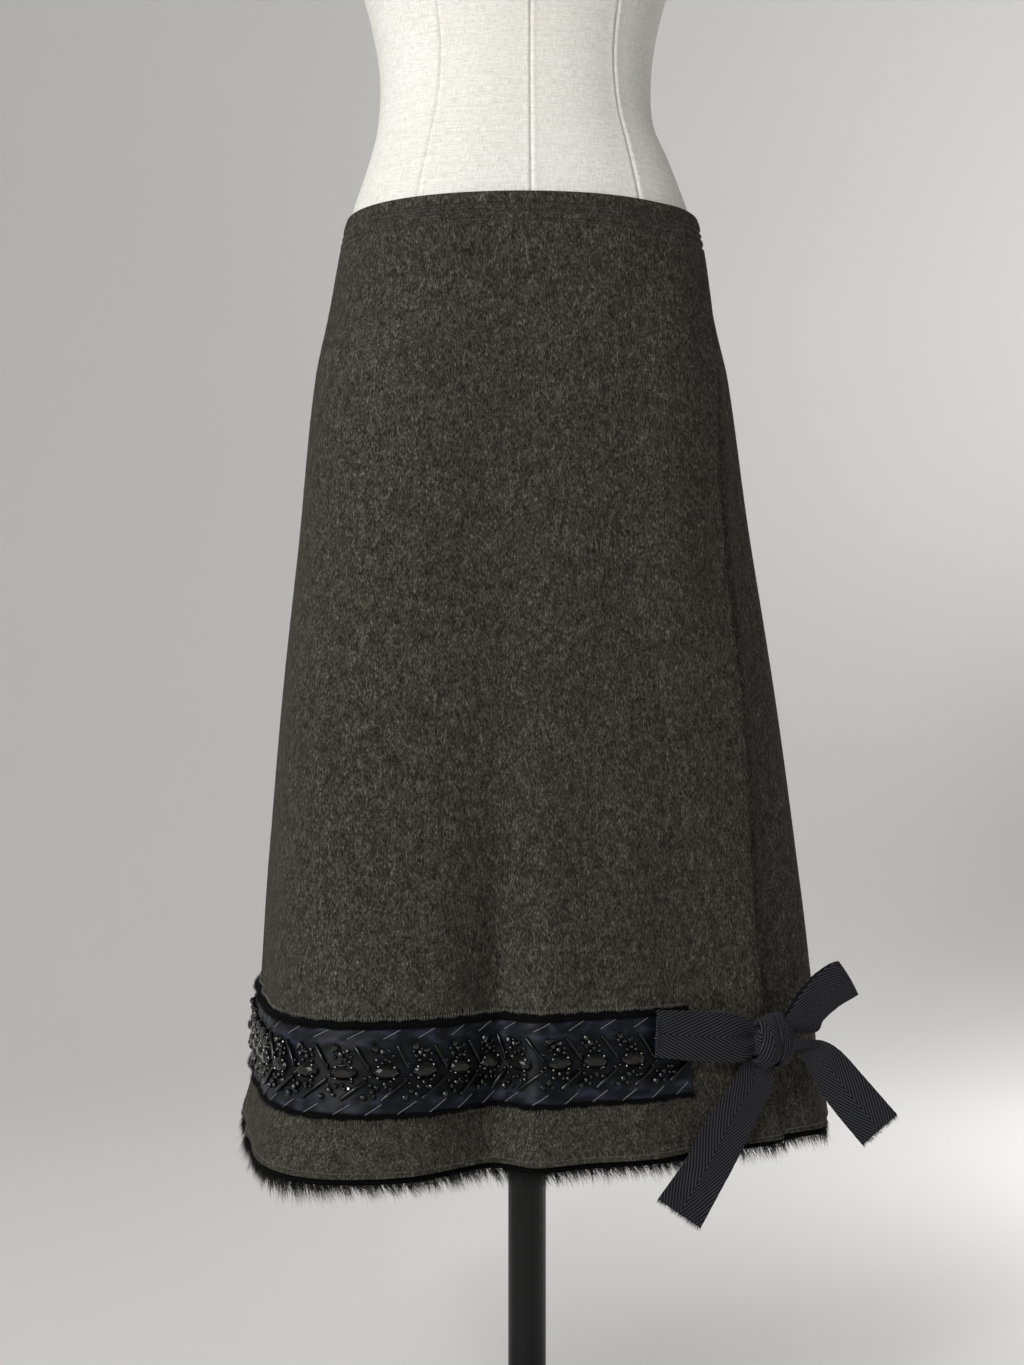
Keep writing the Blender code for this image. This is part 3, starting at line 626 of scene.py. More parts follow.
class Finish:
    """A node material, put together round its Principled shader."""

    def __init__(self, name, **values):
        self.material = bpy.data.materials.new(name)
        self.material.use_nodes = True
        self.tree = self.material.node_tree
        self.shader = self.tree.nodes["Principled BSDF"]
        self.relief = None
        for socket, value in values.items():
            self.shader.inputs[socket.replace("_", " ")].default_value = value

    def add(self, kind, sockets=None, **settings):
        node = self.tree.nodes.new("ShaderNode" + kind)
        for name, value in settings.items():
            setattr(node, name, value)
        for name, value in (sockets or {}).items():
            if isinstance(value, bpy.types.NodeSocket):
                self.tree.links.new(value, node.inputs[name])
            else:
                node.inputs[name].default_value = value
        return node

    def mapped(self, scale, rotation, source):
        sockets = {"Vector": self.add("TexCoord").outputs[source], "Scale": scale, "Rotation": rotation}
        return self.add("Mapping", sockets).outputs["Vector"]

    def noise(
        self, stretch, scale, detail=3.0, roughness=0.5, distortion=0.0, turn=(0, 0, 0), source="Object"
    ):
        """Noise on coordinates that are first multiplied by the stretch and turned."""
        sockets = {
            "Vector": self.mapped(stretch, turn, source), "Scale": scale, "Detail": detail,
            "Roughness": roughness, "Distortion": distortion,
        }
        return self.add("TexNoise", sockets).outputs["Fac"]

    def weave_axes(self):
        """The piece's own map across and along its cloth."""
        return self.add("SeparateXYZ", {"Vector": self.add("TexCoord").outputs["UV"]}).outputs[:2]

    def math(self, operation, *values):
        return self.add("Math", dict(enumerate(values)), operation=operation).outputs[0]

    def ramp(self, value, *stops):
        node = self.add("ValToRGB", {"Fac": value})
        elements = node.color_ramp.elements
        (elements[0].position, first), (elements[1].position, last) = stops[0], stops[-1]
        elements[0].color, elements[1].color = (*first, 1.0), (*last, 1.0)
        for position, colour in stops[1:-1]:
            elements.new(position).color = (*colour, 1.0)
        return node.outputs["Color"]

    def tones(self, value, colour, *stops):
        """A ramp of one colour, made darker or lighter by a factor at each stop."""
        return self.ramp(value, *((position, times(colour, factor)) for position, factor in stops))

    def weighted(self, first, share, second):
        """A share of the first value and the rest from the second."""
        return self.math("ADD", self.math("MULTIPLY", first, share), self.math("MULTIPLY", second, 1 - share))

    def multiplied(self, first, second):
        node = self.add("Mix", data_type="RGBA", blend_type="MULTIPLY")
        node.inputs[0].default_value = 1.0
        for index, socket in ((6, first), (7, second)):
            self.tree.links.new(socket, node.inputs[index])
        return node.outputs[2]

    def attribute(self, name):
        return self.add("Attribute", attribute_name=name).outputs["Fac"]

    def colour(self, socket):
        self.tree.links.new(socket, self.shader.inputs["Base Color"])

    def roughness(self, socket):
        self.tree.links.new(socket, self.shader.inputs["Roughness"])

    def bump(self, height, distance, strength=1.0):
        sockets = {"Height": height, "Distance": distance, "Strength": strength}
        if self.relief:
            sockets["Normal"] = self.relief
        self.relief = self.add("Bump", sockets).outputs["Normal"]
        self.tree.links.new(self.relief, self.shader.inputs["Normal"])


def times(colour, factor):
    return tuple(min(c * factor, 1.0) for c in colour)


def wool_finish(cloth):
    """Brushed wool: a clumped, mostly upright nap over a dark ground, with stray light hairs."""
    wool = Finish(
        "brushed_wool", Roughness=0.95, Sheen_Weight=0.02, Sheen_Roughness=0.5,
        Sheen_Tint=(0.62, 0.58, 0.48, 1.0), Specular_IOR_Level=0.12,
    )
    fibres = wool.noise((1, 1, 0.32), 1150, 4.0, 0.70, 0.6, (0.05, 0.08, 0))
    crossing = wool.noise((1, 1, 0.42), 880, 4.0, 0.68, 0.5, (0.30, -0.42, 0))
    clumps = wool.noise((1, 1, 0.6), 210, 2.0, 0.6, 0.5)
    cloudy = wool.noise((1, 1, 0.35), 13, 2.0)
    nap = wool.weighted(wool.weighted(fibres, 0.55, crossing), 0.84, clumps)
    dark_stops = [(0.41, times(cloth.shade, 0.65)), (0.485, times(cloth.shade, 2.2))]
    light_stops = [(0.545, times(cloth.light, 0.44)), (0.64, times(cloth.light, 1.35))]
    ground = wool.ramp(nap, *dark_stops, *light_stops)
    tone = wool.ramp(cloudy, (0.30, (0.84, 0.835, 0.84)), (0.70, (1.0, 1.0, 0.99)))
    wool.colour(wool.multiplied(ground, tone))
    wool.bump(clumps, 0.0012, 0.5)
    wool.bump(nap, 0.0011, 0.85)
    return wool.material


def nap_finish(cloth):
    """Loose fibres that stand off the wool, from dark to light by their tint."""
    nap = Finish("wool_fibres", Roughness=0.8, Specular_IOR_Level=0.15)
    dark, middle, pale = times(cloth.shade, 1.2), times(cloth.light, 0.32), times(cloth.light, 0.95)
    nap.colour(nap.ramp(nap.attribute("tint"), (0.0, dark), (0.7, middle), (1.0, pale)))
    nap.bump(nap.noise((1, 1, 1), 2500), 0.0001, 0.3)
    return nap.material


def thread_finish(name, colour):
    """Twisted sewing thread."""
    thread = Finish(name, Roughness=0.6, Sheen_Weight=0.2)
    ply = thread.noise((1, 1, 1), 1800, 2.0, turn=(0.6, 0.5, 0))
    thread.colour(thread.tones(ply, colour, (0.3, 0.55), (0.7, 1.3)))
    thread.bump(ply, 0.0002, 0.5)
    return thread.material


def linen_finish(form):
    """Plain linen weave with uneven yarns, following the sheet both ways."""
    linen = Finish("ivory_linen", Roughness=0.88, Sheen_Weight=0.1, Specular_IOR_Level=0.2)
    weft = linen.noise((130, 1350, 1), 1.0, 2.0, source="UV")
    warp = linen.noise((1350, 130, 1), 1.0, 2.0, source="UV")
    slubs = linen.noise((24, 420, 1), 1.0, 2.0, 0.6, source="UV")
    soft = linen.noise((1, 1, 1), 7, 2.0)
    weave = linen.math("MAXIMUM", weft, warp)
    cover = linen.tones(weave, form.linen, (0.42, 0.76), (0.60, 1.0))
    yarns = linen.ramp(slubs, (0.35, (0.93, 0.925, 0.91)), (0.62, (1.0, 1.0, 1.0)))
    age = linen.ramp(soft, (0.3, (0.97, 0.965, 0.95)), (0.7, (1.0, 1.0, 1.0)))
    linen.colour(linen.multiplied(linen.multiplied(cover, yarns), age))
    linen.bump(weave, 0.0005, 0.55)
    linen.bump(slubs, 0.0004, 0.35)
    return linen.material


def tape_finish(bow):
    """Herringbone twill: ribs that lean both ways from the tape's centre line."""
    tape = Finish("twill_tape", Roughness=0.85, Sheen_Weight=0.03, Specular_IOR_Level=0.15)
    lean = math.radians(24)
    across, along = tape.weave_axes()
    side = tape.math("MULTIPLY", tape.math("ABSOLUTE", across), math.cos(lean) / bow.twill)
    run = tape.math("MULTIPLY", along, math.sin(lean) / bow.twill)
    ribs = tape.math("SINE", tape.math("MULTIPLY", tape.math("ADD", side, run), 2 * math.pi))
    ribs = tape.math("MULTIPLY_ADD", ribs, 0.5, 0.5)
    yarn = tape.noise((1500, 700, 1), 1.0, 2.0, 0.6, source="UV")
    worn = tape.noise((1, 1, 1), 55, 2.0, 0.6)
    relief = tape.weighted(ribs, 0.75, yarn)
    raised, highest = times(bow.colour, 0.75), times(bow.colour, 2.1)
    body = tape.ramp(relief, (0.22, bow.shade), (0.55, raised), (0.85, highest))
    fade = tape.ramp(worn, (0.3, (0.86, 0.86, 0.87)), (0.7, (1.0, 1.0, 1.0)))
    tape.colour(tape.multiplied(body, fade))
    tape.bump(relief, 0.0005, 0.8)
    return tape.material


def satin_finish(trim):
    """Navy satin: long floats across the ribbon, a painted sheen in soft cloudy patches, and painted shade
    that darkens it between the beads.
    """
    satin = Finish("navy_satin", Roughness=0.48, Specular_IOR_Level=0.15)
    floats = satin.noise((2200, 160, 1), 1.0, 2.0, source="UV")
    cloudy = satin.noise((75, 150, 1), 1.0, 1.0, 0.5, 0.3, (0, 0, 0.6), "UV")
    # Painted sheen: the ribbon's colour is made up to three times lighter in cloudy patches, standing in for
    # its bluish reflections.
    painted_sheen = satin.tones(cloudy, trim.satin, (0.34, 0.40), (0.53, 1.1), (0.68, 3.2))
    grain = satin.ramp(floats, (0.35, (0.82, 0.82, 0.84)), (0.65, (1.0, 1.0, 1.0)))
    _, height = satin.weave_axes()
    from_beads = satin.math("ABSOLUTE", satin.math("SUBTRACT", height, BEAD_LINE))
    from_beads = satin.math("DIVIDE", from_beads, BEAD_FIELD_HALF)
    # Painted shade: the satin is made darker in the bead field, close to the bead line.
    bead_field_shade = satin.ramp(from_beads, (0.42, (0.34, 0.33, 0.32)), (0.72, (1.0, 1.0, 1.0)))
    satin.colour(satin.multiplied(satin.multiplied(painted_sheen, grain), bead_field_shade))
    satin.bump(floats, 0.00012, 0.35)
    return satin.material


def pile_finish(name, colour, lift, roughness):
    """Velvet pile or fur: nearly black, lighter at some fibres by their tint."""
    pile = Finish(name, Roughness=roughness, Specular_IOR_Level=0.22)
    strand = pile.noise((1, 1, 0.4), 1500, 2.0)
    ground = pile.tones(strand, colour, (0.35, 0.5), (0.7, 1.6))
    tinted = pile.ramp(pile.attribute("tint"), (0.0, (0.6, 0.6, 0.6)), (1.0, (lift, lift * 0.93, lift * 0.9)))
    pile.colour(pile.multiplied(ground, tinted))
    pile.bump(strand, 0.0004, 0.5)
    return pile.material


def ground_finish(name, colour, roughness):
    """The plain backing of a pile."""
    ground = Finish(name, Roughness=roughness, Specular_IOR_Level=0.06)
    strand = ground.noise((1, 1, 0.4), 1300, 2.0)
    ground.colour(ground.tones(strand, colour, (0.35, 0.5), (0.7, 1.5)))
    ground.bump(strand, 0.0008, 0.8)
    return ground.material


def glass_finish(name, colour, roughness, metallic, gloss):
    """Dark glass, cut stone or metal, slightly uneven."""
    glass = Finish(name, Roughness=roughness, Metallic=metallic, Specular_IOR_Level=gloss)
    uneven = glass.noise((1, 1, 1), 160, 2.0)
    glass.colour(glass.tones(uneven, colour, (0.3, 0.7), (0.7, 1.3)))
    return glass.material


def steel_finish(form):
    """Black powder coat with a fine grain, a little duller in patches."""
    steel = Finish("black_powder_coat", Metallic=0.0, Specular_IOR_Level=0.28)
    grain = steel.noise((1, 1, 1), 1400, 2.0)
    patches = steel.noise((1, 1, 0.3), 14, 3.0)
    steel.colour(steel.tones(patches, form.steel, (0.3, 0.8), (0.7, 1.4)))
    steel.roughness(steel.math("MULTIPLY_ADD", patches, 0.16, 0.31))
    steel.bump(grain, 0.0001, 0.35)
    return steel.material


def paper_finish(stage):
    """Matt backdrop with a faint mottle."""
    paper = Finish("backdrop_paint", Roughness=0.95, Specular_IOR_Level=0.1)
    mottle = paper.noise((1, 1, 1), 0.6, 2.0)
    paper.colour(paper.tones(mottle, stage.wall, (0.3, 0.98), (0.7, 1.01)))
    return paper.material


# Wool panels

WAIST_ZONE = 0.030
WAIST_ROW_STEP = 0.001
WAIST_ROWS_DOWN = (0.010, 0.015, 0.022)
WAIST_GROOVE = 0.0013
WAIST_GROOVE_HALF = 0.0021
WAIST_PUCKER = 0.00022
WAIST_PUCKER_MIDDLE = 0.0150
WAIST_PUCKER_HALF = 0.0130
WAIST_ROLL = 0.0004
WAIST_ROLL_MIDDLE = 0.0045
WAIST_ROLL_HALF = 0.0055
# Share of the panel's height above which the nap is thinned, and the share of it that is moved down
WAIST_NAP_FROM = 0.960
WAIST_NAP_MOVED = 0.75
HEM_ZONE = 0.012
HEM_STITCH_UP = 0.0032
HEM_GROOVE = 0.0005
HEM_GROOVE_HALF = 0.0022
HEM_ROLL = 0.00035
HEM_ROLL_MIDDLE = 0.0070
HEM_ROLL_HALF = 0.0050
HEM_ROWS_UP = (0.0, 0.0012, 0.0022, 0.0032, 0.0042, 0.0056, 0.0080, 0.0115)
TOP_ROW = 0.950
ROW_STEP = 0.0064
SOFT_DENT = 0.0007
WRAP_EDGE_RISE = 0.0009
WRAP_DIP = 0.0042
WRAP_DIP_MIDDLE = 1.2
WRAP_DIP_HALF = 4.2
NAP_RADIUS = 0.000062
NAP_ROOT = 0.0002


def cloth_relief(bearing, height):
    """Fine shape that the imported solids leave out: stitched channels, puckers and soft dents."""
    down = skirt_top(bearing) - height
    relief = 0.0
    if down < WAIST_ZONE:
        for row in WAIST_ROWS_DOWN:
            relief -= WAIST_GROOVE * bell(down - row, WAIST_GROOVE_HALF)
        between = bell(down - WAIST_PUCKER_MIDDLE, WAIST_PUCKER_HALF)
        arc = math.radians(bearing) * 0.13
        relief += WAIST_PUCKER * between * math.sin(arc / 0.0030 + 2.1 * math.sin(arc / 0.017))
        relief += WAIST_ROLL * bell(down - WAIST_ROLL_MIDDLE, WAIST_ROLL_HALF)
    up = height - HEM
    if up < HEM_ZONE:
        relief -= HEM_GROOVE * bell(up - HEM_STITCH_UP, HEM_GROOVE_HALF)
        relief += HEM_ROLL * bell(up - HEM_ROLL_MIDDLE, HEM_ROLL_HALF)
    slow = math.sin(math.radians(bearing) * 7.0 + height * 9.0) * math.sin(height * 13.0 + bearing * 0.05)
    return relief + SOFT_DENT * slow * ramp(0.93 - height, 0.0, 0.2)


def edge_relief(radius_at, bearing, height):
    """The front panel's turned edge stands a little proud, and the cloth beside it dips."""
    past = away_from(bearing, wrap_bearing(height))
    low = ramp(-height, -0.96, -0.86)
    if radius_at is front_radius:
        return WRAP_EDGE_RISE * low * ramp(past, -3.0, -0.4)
    return -WRAP_DIP * low * bell(past - WRAP_DIP_MIDDLE, WRAP_DIP_HALF) if past > -6.0 else 0.0


def panel_levels():
    """Levels of a panel's rows: heights, and then for the waist zone depths below the waist edge."""
    low = [HEM + up for up in HEM_ROWS_UP]
    count = round((TOP_ROW - low[-1]) / ROW_STEP)
    plain = [low[-1] + (TOP_ROW - low[-1]) * k / count for k in range(1, count + 1)]
    waist = [WAIST_ROW_STEP * k - WAIST_ZONE for k in range(round(WAIST_ZONE / WAIST_ROW_STEP) + 1)]
    return low + plain + waist


def panel_rows(radius_at, bearings, fixed, moving):
    """Rows of a panel. Its columns fan from the fixed seam to the edge that drifts round with height."""
    hem_edge = WRAP_EDGE[0].bearing
    rows = []
    for level in panel_levels():
        row = []
        for hem_bearing in bearings:
            height = level if level > 0 else round(skirt_top(hem_bearing) + level, 5)
            share = (hem_bearing - fixed) / (moving - fixed)
            bearing = hem_bearing + (wrap_bearing(height) - hem_edge) * share
            relief = cloth_relief(bearing, height) + edge_relief(radius_at, bearing, height)
            row.append(place(radius_at, bearing, height, relief))
        rows.append(row)
    return rows


@lru_cache(maxsize=None)
def front_rows(step):
    bearings = even_bearings(front_radius, LEFT_SEAM, WRAP_EDGE[0].bearing, step, TRIM_BOTTOM)
    return panel_rows(front_radius, bearings, bearings[0], bearings[-1])


@lru_cache(maxsize=None)
def back_rows(step):
    seam = LEFT_SEAM + 360.0
    bearings = even_bearings(wool_radius, WRAP_EDGE[0].bearing - UNDERLAP, seam, step, TRIM_BOTTOM)
    return panel_rows(wool_radius, bearings, bearings[-1], bearings[0])


class SKIRT_OT_wool_panels(bpy.types.Operator):
    """The two wool panels with their stitched waist and turned hem"""

    bl_idname = "skirt.wool_panels"
    bl_label = "Wool panels"

    def execute(self, context):
        cloth = context.scene.skirt.cloth
        wool = wool_finish(cloth)
        panels = (
            ("wool_front_panel", front_rows(cloth.grid), "skirt_front", (0.6254, 0.7010), 0.322),
            ("wool_back_panel", back_rows(cloth.grid), "skirt_back", (0.8575, 0.7010), 0.476),
        )
        for name, rows, node, flat, area in panels:
            panel = sheet_object(name, rows, wool, cloth.thickness, -1, bevel=0.0006)
            settle(panel, "wool", node)
        return {"FINISHED"}


class SKIRT_OT_wool_nap(bpy.types.Operator):
    """Loose fibres that stand off the wool"""

    bl_idname = "skirt.wool_nap"
    bl_label = "Wool nap"

    def execute(self, context):
        cloth = context.scene.skirt.cloth
        nap = nap_finish(cloth)
        chance = np.random.default_rng(11)
        for name, rows in (("nap_front", front_rows(cloth.grid)), ("nap_back", back_rows(cloth.grid))):
            patch = Patch(rows)
            count = cloth.nap_count
            levels = patch.points[:, 0, 2]
            shares = (levels - levels[0]) / (levels[-1] - levels[0])
            share = chance.random(count)
            thinned = (share > WAIST_NAP_FROM) & (chance.random(count) < WAIST_NAP_MOVED)
            share = np.where(thinned, share * 0.95 * chance.random(count), share)
            down = np.interp(share, shares, np.linspace(0.0, 1.0, len(levels)))
            spot, along, up, normal = patch.sample(down, chance.random(count))
            sway = chance.normal(0.05, 0.52, count)[:, None]
            lift = chance.uniform(0.06, 0.60, count)[:, None]
            direction = -up + along * sway + normal * lift
            length = cloth.nap_length * chance.uniform(0.35, 1.0, count)
            frames = frames_along(direction, normal, NAP_RADIUS, NAP_RADIUS, length)
            piece = scatter(name, spike(), spot - normal * NAP_ROOT, frames, nap, chance.random(count))
            settle(piece, "wool")
        return {"FINISHED"}


def row_of_stitches(path, stitch, gap, radius):
    """Spots and frames of stitches laid end to end along a path of (point, outward) pairs."""
    points = np.array([tuple(p) for p, _ in path])
    outs = np.array([tuple(o) for _, o in path])
    steps = np.concatenate([[0.0], np.cumsum(np.linalg.norm(np.diff(points, axis=0), axis=1))])

    def read(at, table):
        return np.stack([np.interp(at, steps, table[:, k]) for k in range(3)], axis=1)

    starts = np.arange(int(steps[-1] / (stitch + gap))) * (stitch + gap)
    a, b = read(starts, points), read(starts + stitch, points)
    out = unit(read(starts + stitch / 2, outs))
    return (a + b) / 2, frames_along(b - a, out, radius * 1.2, radius, np.linalg.norm(b - a, axis=1))


def edge_path(radius_at, start, end, level, out):
    """Places and outward directions along a panel, at a height or at a depth below the waist edge."""
    path = []
    count = 500
    for k in range(count + 1):
        bearing = start + (end - start) * k / count
        height = level if level > 0 else skirt_top(bearing) + level
        relief = cloth_relief(bearing, height) + edge_relief(radius_at, bearing, height)
        surface = place(radius_at, bearing, height, relief)
        outward = place(radius_at, bearing, height, relief + 1.0) - surface
        path.append((surface + outward * out, outward))
    return path


# A row of machine stitches: sizes in metres, and how far in degrees it stops before the wrap edge
Seam = namedtuple("Seam", "name stitch gap radius out before_edge thread colour")
HEM_SEAM = Seam("hem_stitching", 0.0021, 0.0007, 0.00026, 0.00018, 0.5, "hem_thread", (0.045, 0.043, 0.036))
SEAM_CLEARANCE = 0.6
PAST_EDGE = 0.8


def sew(seam, levels, wrap_edge):
    """Rows of stitches at the levels, from the side seam to the wrap edge and on round to the seam."""
    stitches = Copies()
    lengths = (
        (front_radius, LEFT_SEAM + SEAM_CLEARANCE, wrap_edge - seam.before_edge),
        (wool_radius, wrap_edge + PAST_EDGE, LEFT_SEAM + 360.0 - SEAM_CLEARANCE),
    )
    for level in levels:
        for radius_at, start, end in lengths:
            path = edge_path(radius_at, start, end, level, seam.out)
            stitches.add(*row_of_stitches(path, seam.stitch, seam.gap, seam.radius))
    stitches.make(seam.name, rod(4), thread_finish(seam.thread, seam.colour), "wool")


class SKIRT_OT_stitching(bpy.types.Operator):
    """Three rows of topstitching at the waist, one along the hem"""

    bl_idname = "skirt.stitching"
    bl_label = "Stitching"

    def execute(self, context):
        stitch = context.scene.skirt.cloth.stitch
        colour = (0.0028, 0.0027, 0.0023)
        waist_seam = Seam("waist_topstitching", stitch, 0.0005, 0.00048, 0.00012, 0.4, "waist_thread", colour)
        sew(waist_seam, [-down for down in WAIST_ROWS_DOWN], wrap_bearing(0.975))
        sew(HEM_SEAM, [HEM + HEM_STITCH_UP], WRAP_EDGE[0].bearing)
        return {"FINISHED"}


# Fur under the hem

# Height above the hem and how far out, for each row of the facing
FUR_ROWS = (
    (-0.0046, -0.0022),
    (-0.0034, -0.0018),
    (-0.0018, -0.0026),
    (-0.0008, -0.0032),
    (0.0060, -0.0036),
    (0.0180, -0.0036),
    (0.0300, -0.0036),
)
FACING_STEP = 0.0045
FACING_WALL = 0.0016
HAIR_RADIUS = 0.00017
HAIR_ROOT = 0.0006
HAIR_BEND = -0.14
# Where and over what half angle hairs are longer, and by what share, as the photo's fur shows more there
FUR_TUFTS = ((-48.0, 10.0, 0.45), (-17.0, 9.0, 0.30), (-70.0, 14.0, 0.15), (48.0, 12.0, 0.15))
# Where hairs blow sideways off the skirt's corner, and over what half angle
SIDEWAYS_HAIRS = (-80.0, 30.0)
CLUMP_COLUMNS = 1.6


def near_bearing(bearings, centre, half_angle):
    """1 at the centre's bearing, falling evenly to 0 at the half angle."""
    return np.clip(1 - np.abs((bearings - centre + 180) % 360 - 180) / half_angle, 0, 1)


def fur_hairs(side, rows, bearings, fur, strands, chance):
    """Hairs rooted on the facing, which hang down in tufts and lean to one side."""
    count = fur.count
    down = chance.beta(1.0, 1.6, count) * 0.72
    across = chance.random(count)
    spot, along, _, normal = Patch(rows).sample(down, across)
    bearing = np.interp(across, np.linspace(0, 1, len(bearings)), bearings)
    longer = 1 + sum(share * near_bearing(bearing, centre, half) for centre, half, share in FUR_TUFTS)
    ragged = 1 + 0.16 * np.sin(bearing * 2.1) + 0.12 * np.sin(bearing * 5.3 + 1.0)
    reach = (spot[:, 2] - (HEM - 0.0040)).clip(0, None) * 0.9
    length = (fur.length * chance.uniform(0.22, 1.0, count) * ragged * longer) * 0.86 + reach
    sway = chance.normal(0.50, 0.24, count) + 0.16 * np.sin(bearing * 1.7)
    blown = near_bearing(bearing, *SIDEWAYS_HAIRS)
    lean = chance.normal(0.10, 0.16, count) + 0.45 * blown * chance.random(count)
    direction = unit(np.array([0, 0, -1.0]) + along * sway[:, None] + normal * lean[:, None])
    clumps = len(bearings) / CLUMP_COLUMNS
    pull = ((np.floor(across * clumps) + 0.5) / clumps - across) * FACING_STEP * (len(bearings) - 1)
    direction = direction + along * (pull / length * 0.55)[:, None]
    frames = frames_along(direction, -normal, HAIR_RADIUS, HAIR_RADIUS, length)
    roots = spot - normal * HAIR_ROOT
    hair = spike(2, HAIR_BEND)
    hairs = scatter(f"fur_hairs_{side}", hair, roots, frames, strands, chance.random(count) ** 3)
    settle(hairs, "fur")
    return hairs


class SKIRT_OT_fur(bpy.types.Operator):
    """The fur facing inside the hem, with its hairs"""

    bl_idname = "skirt.fur"
    bl_label = "Fur"

    def execute(self, context):
        fur = context.scene.skirt.fur
        hide = ground_finish("fur_ground", times(fur.colour, 0.7), 0.9)
        strands = pile_finish("fur_hairs", fur.colour, 2.6, 0.5)
        chance = np.random.default_rng(23)
        step = math.degrees(0.004 / 0.21)
        first_back = WRAP_EDGE[0].bearing - UNDERLAP
        panels = (
            ("front", front_radius, LEFT_SEAM, first_back - step, 0.56),
            ("back", wool_radius, first_back + step, LEFT_SEAM + 360.0, 0.82),
        )
        for side, radius_at, start, end, width in panels:
            bearings = even_bearings(radius_at, start, end, FACING_STEP, HEM)
            rows = []
            for up, out in FUR_ROWS:
                ring = HEM + max(up, 0.0)
                lower = Vector((0, 0, HEM + up - ring))
                rows.append([place(radius_at, b, ring, out) + lower for b in bearings])
            facing = sheet_object(f"fur_facing_{side}", rows, hide, FACING_WALL, -1)
            settle(facing, "fur", f"fur_{side}")
            hairs = fur_hairs(side, rows, bearings, fur, strands, chance)
        return {"FINISHED"}


# Ribbon, its beads and its velvet edges

PATH_STEP = 0.0026


class TrimPath:
    """The line round the skirt that the ribbon follows, from its front end to its back end."""

    def __init__(self):
        front = even_bearings(front_radius, LEFT_SEAM, TRIM_FRONT_END, PATH_STEP, TRIM_BOTTOM)[::-1]
        back = even_bearings(wool_radius, TRIM_BACK_END, LEFT_SEAM + 360.0, PATH_STEP, TRIM_BOTTOM)[::-1]
        columns = [(front_radius, b) for b in front] + [(wool_radius, b) for b in back[1:]]
        rows = []
        for radius_at, bearing in columns:
            foot, top = place(radius_at, bearing, TRIM_BOTTOM), place(radius_at, bearing, TRIM_TOP)
            foot_out = place(radius_at, bearing, TRIM_BOTTOM, 1.0) - foot
            top_out = place(radius_at, bearing, TRIM_TOP, 1.0) - top
            rows.append([*foot, *top, *foot_out, *top_out])
        self.rows = np.array(rows)
        middle = (self.rows[:, 0:3] + self.rows[:, 3:6]) / 2
        gaps = np.linalg.norm(np.diff(middle, axis=0), axis=1)
        self.travel = np.concatenate([[0.0], np.cumsum(gaps)])
        self.length = float(self.travel[-1])

    def columns(self, travel):
        """Foot, top and outward directions at distances from the front end."""
        travel = np.atleast_1d(travel)
        table = np.stack([np.interp(travel, self.travel, self.rows[:, k]) for k in range(12)], axis=1)
        return table[:, 0:3], table[:, 3:6], unit(table[:, 6:9]), unit(table[:, 9:12])

    def points(self, travel, height, out):
        """Points on the ribbon and the way out there. The three numbers or arrays go together."""
        foot, top, foot_out, top_out = self.columns(travel)
        share = ((np.asarray(height) - TRIM_BOTTOM) / (TRIM_TOP - TRIM_BOTTOM) * np.ones(len(foot)))[:, None]
        outward = unit(foot_out * (1 - share) + top_out * share)
        lift = (np.asarray(out) * np.ones(len(foot)))[:, None]
        return foot * (1 - share) + top * share + outward * lift, outward


@lru_cache(maxsize=None)
def trim_path():
    return TrimPath()


SATIN_LOW = TRIM_BOTTOM + BOTTOM_EDGE_HEIGHT - 0.0006
SATIN_HIGH = TRIM_TOP - TOP_EDGE_HEIGHT + 0.0006
SATIN_OUT = TRIM_GAP + 0.0009
SATIN_WALL = 0.0007
SATIN_COLUMN = 0.0015
SATIN_ROWS = 27
BEAD_LINE = (TRIM_BOTTOM + BOTTOM_EDGE_HEIGHT + TRIM_TOP - TOP_EDGE_HEIGHT) / 2
BEAD_FIELD_HALF = 0.026
STONE_START = 0.0494
STONE_PITCH = 0.0276

Pleats = namedtuple("Pleats", "low high pitch slope start length stitch_up")
UPPER_PLEATS = Pleats(BEAD_LINE + 0.0150, SATIN_HIGH, 0.0250, 0.53, 0.012, 0.0135, 0.0070)
LOWER_PLEATS = Pleats(SATIN_LOW, BEAD_LINE - 0.0175, 0.0215, 0.68, 0.006, 0.0140, 0.0004)
PLEAT_HEIGHT = 0.0011
PLEAT_CREST = 0.93
PLEAT_FADE = 0.004
SATIN_EASE = 0.0003
SATIN_RIPPLE = 0.00025


def pleat_rise(pleats, travel, height):
    """Height of the satin's slanting pleats: each climbs slowly and drops at its line."""
    if not pleats.low - PLEAT_FADE < height < pleats.high + PLEAT_FADE:
        return 0.0
    right = -travel - pleats.start
    phase = ((right - (height - pleats.low) / pleats.slope) / pleats.pitch) % 1.0
    step = phase if phase < PLEAT_CREST else (1 - phase) / (1 - PLEAT_CREST) * PLEAT_CREST
    fade = ramp(height, pleats.low - PLEAT_FADE, pleats.low + PLEAT_FADE / 2)
    return PLEAT_HEIGHT * step * fade * ramp(-height, -pleats.high - PLEAT_FADE, -pleats.high)


def satin_rise(travel, height):
    """How far the satin stands off its seat: pleats at both sides and a soft ripple between."""
    rise = pleat_rise(UPPER_PLEATS, travel, height) + pleat_rise(LOWER_PLEATS, travel, height)
    ripple = math.sin(travel * 2 * math.pi / 0.031 + height * 190) * math.sin(height * 260 + travel * 40)
    return rise + SATIN_EASE + SATIN_RIPPLE * ripple


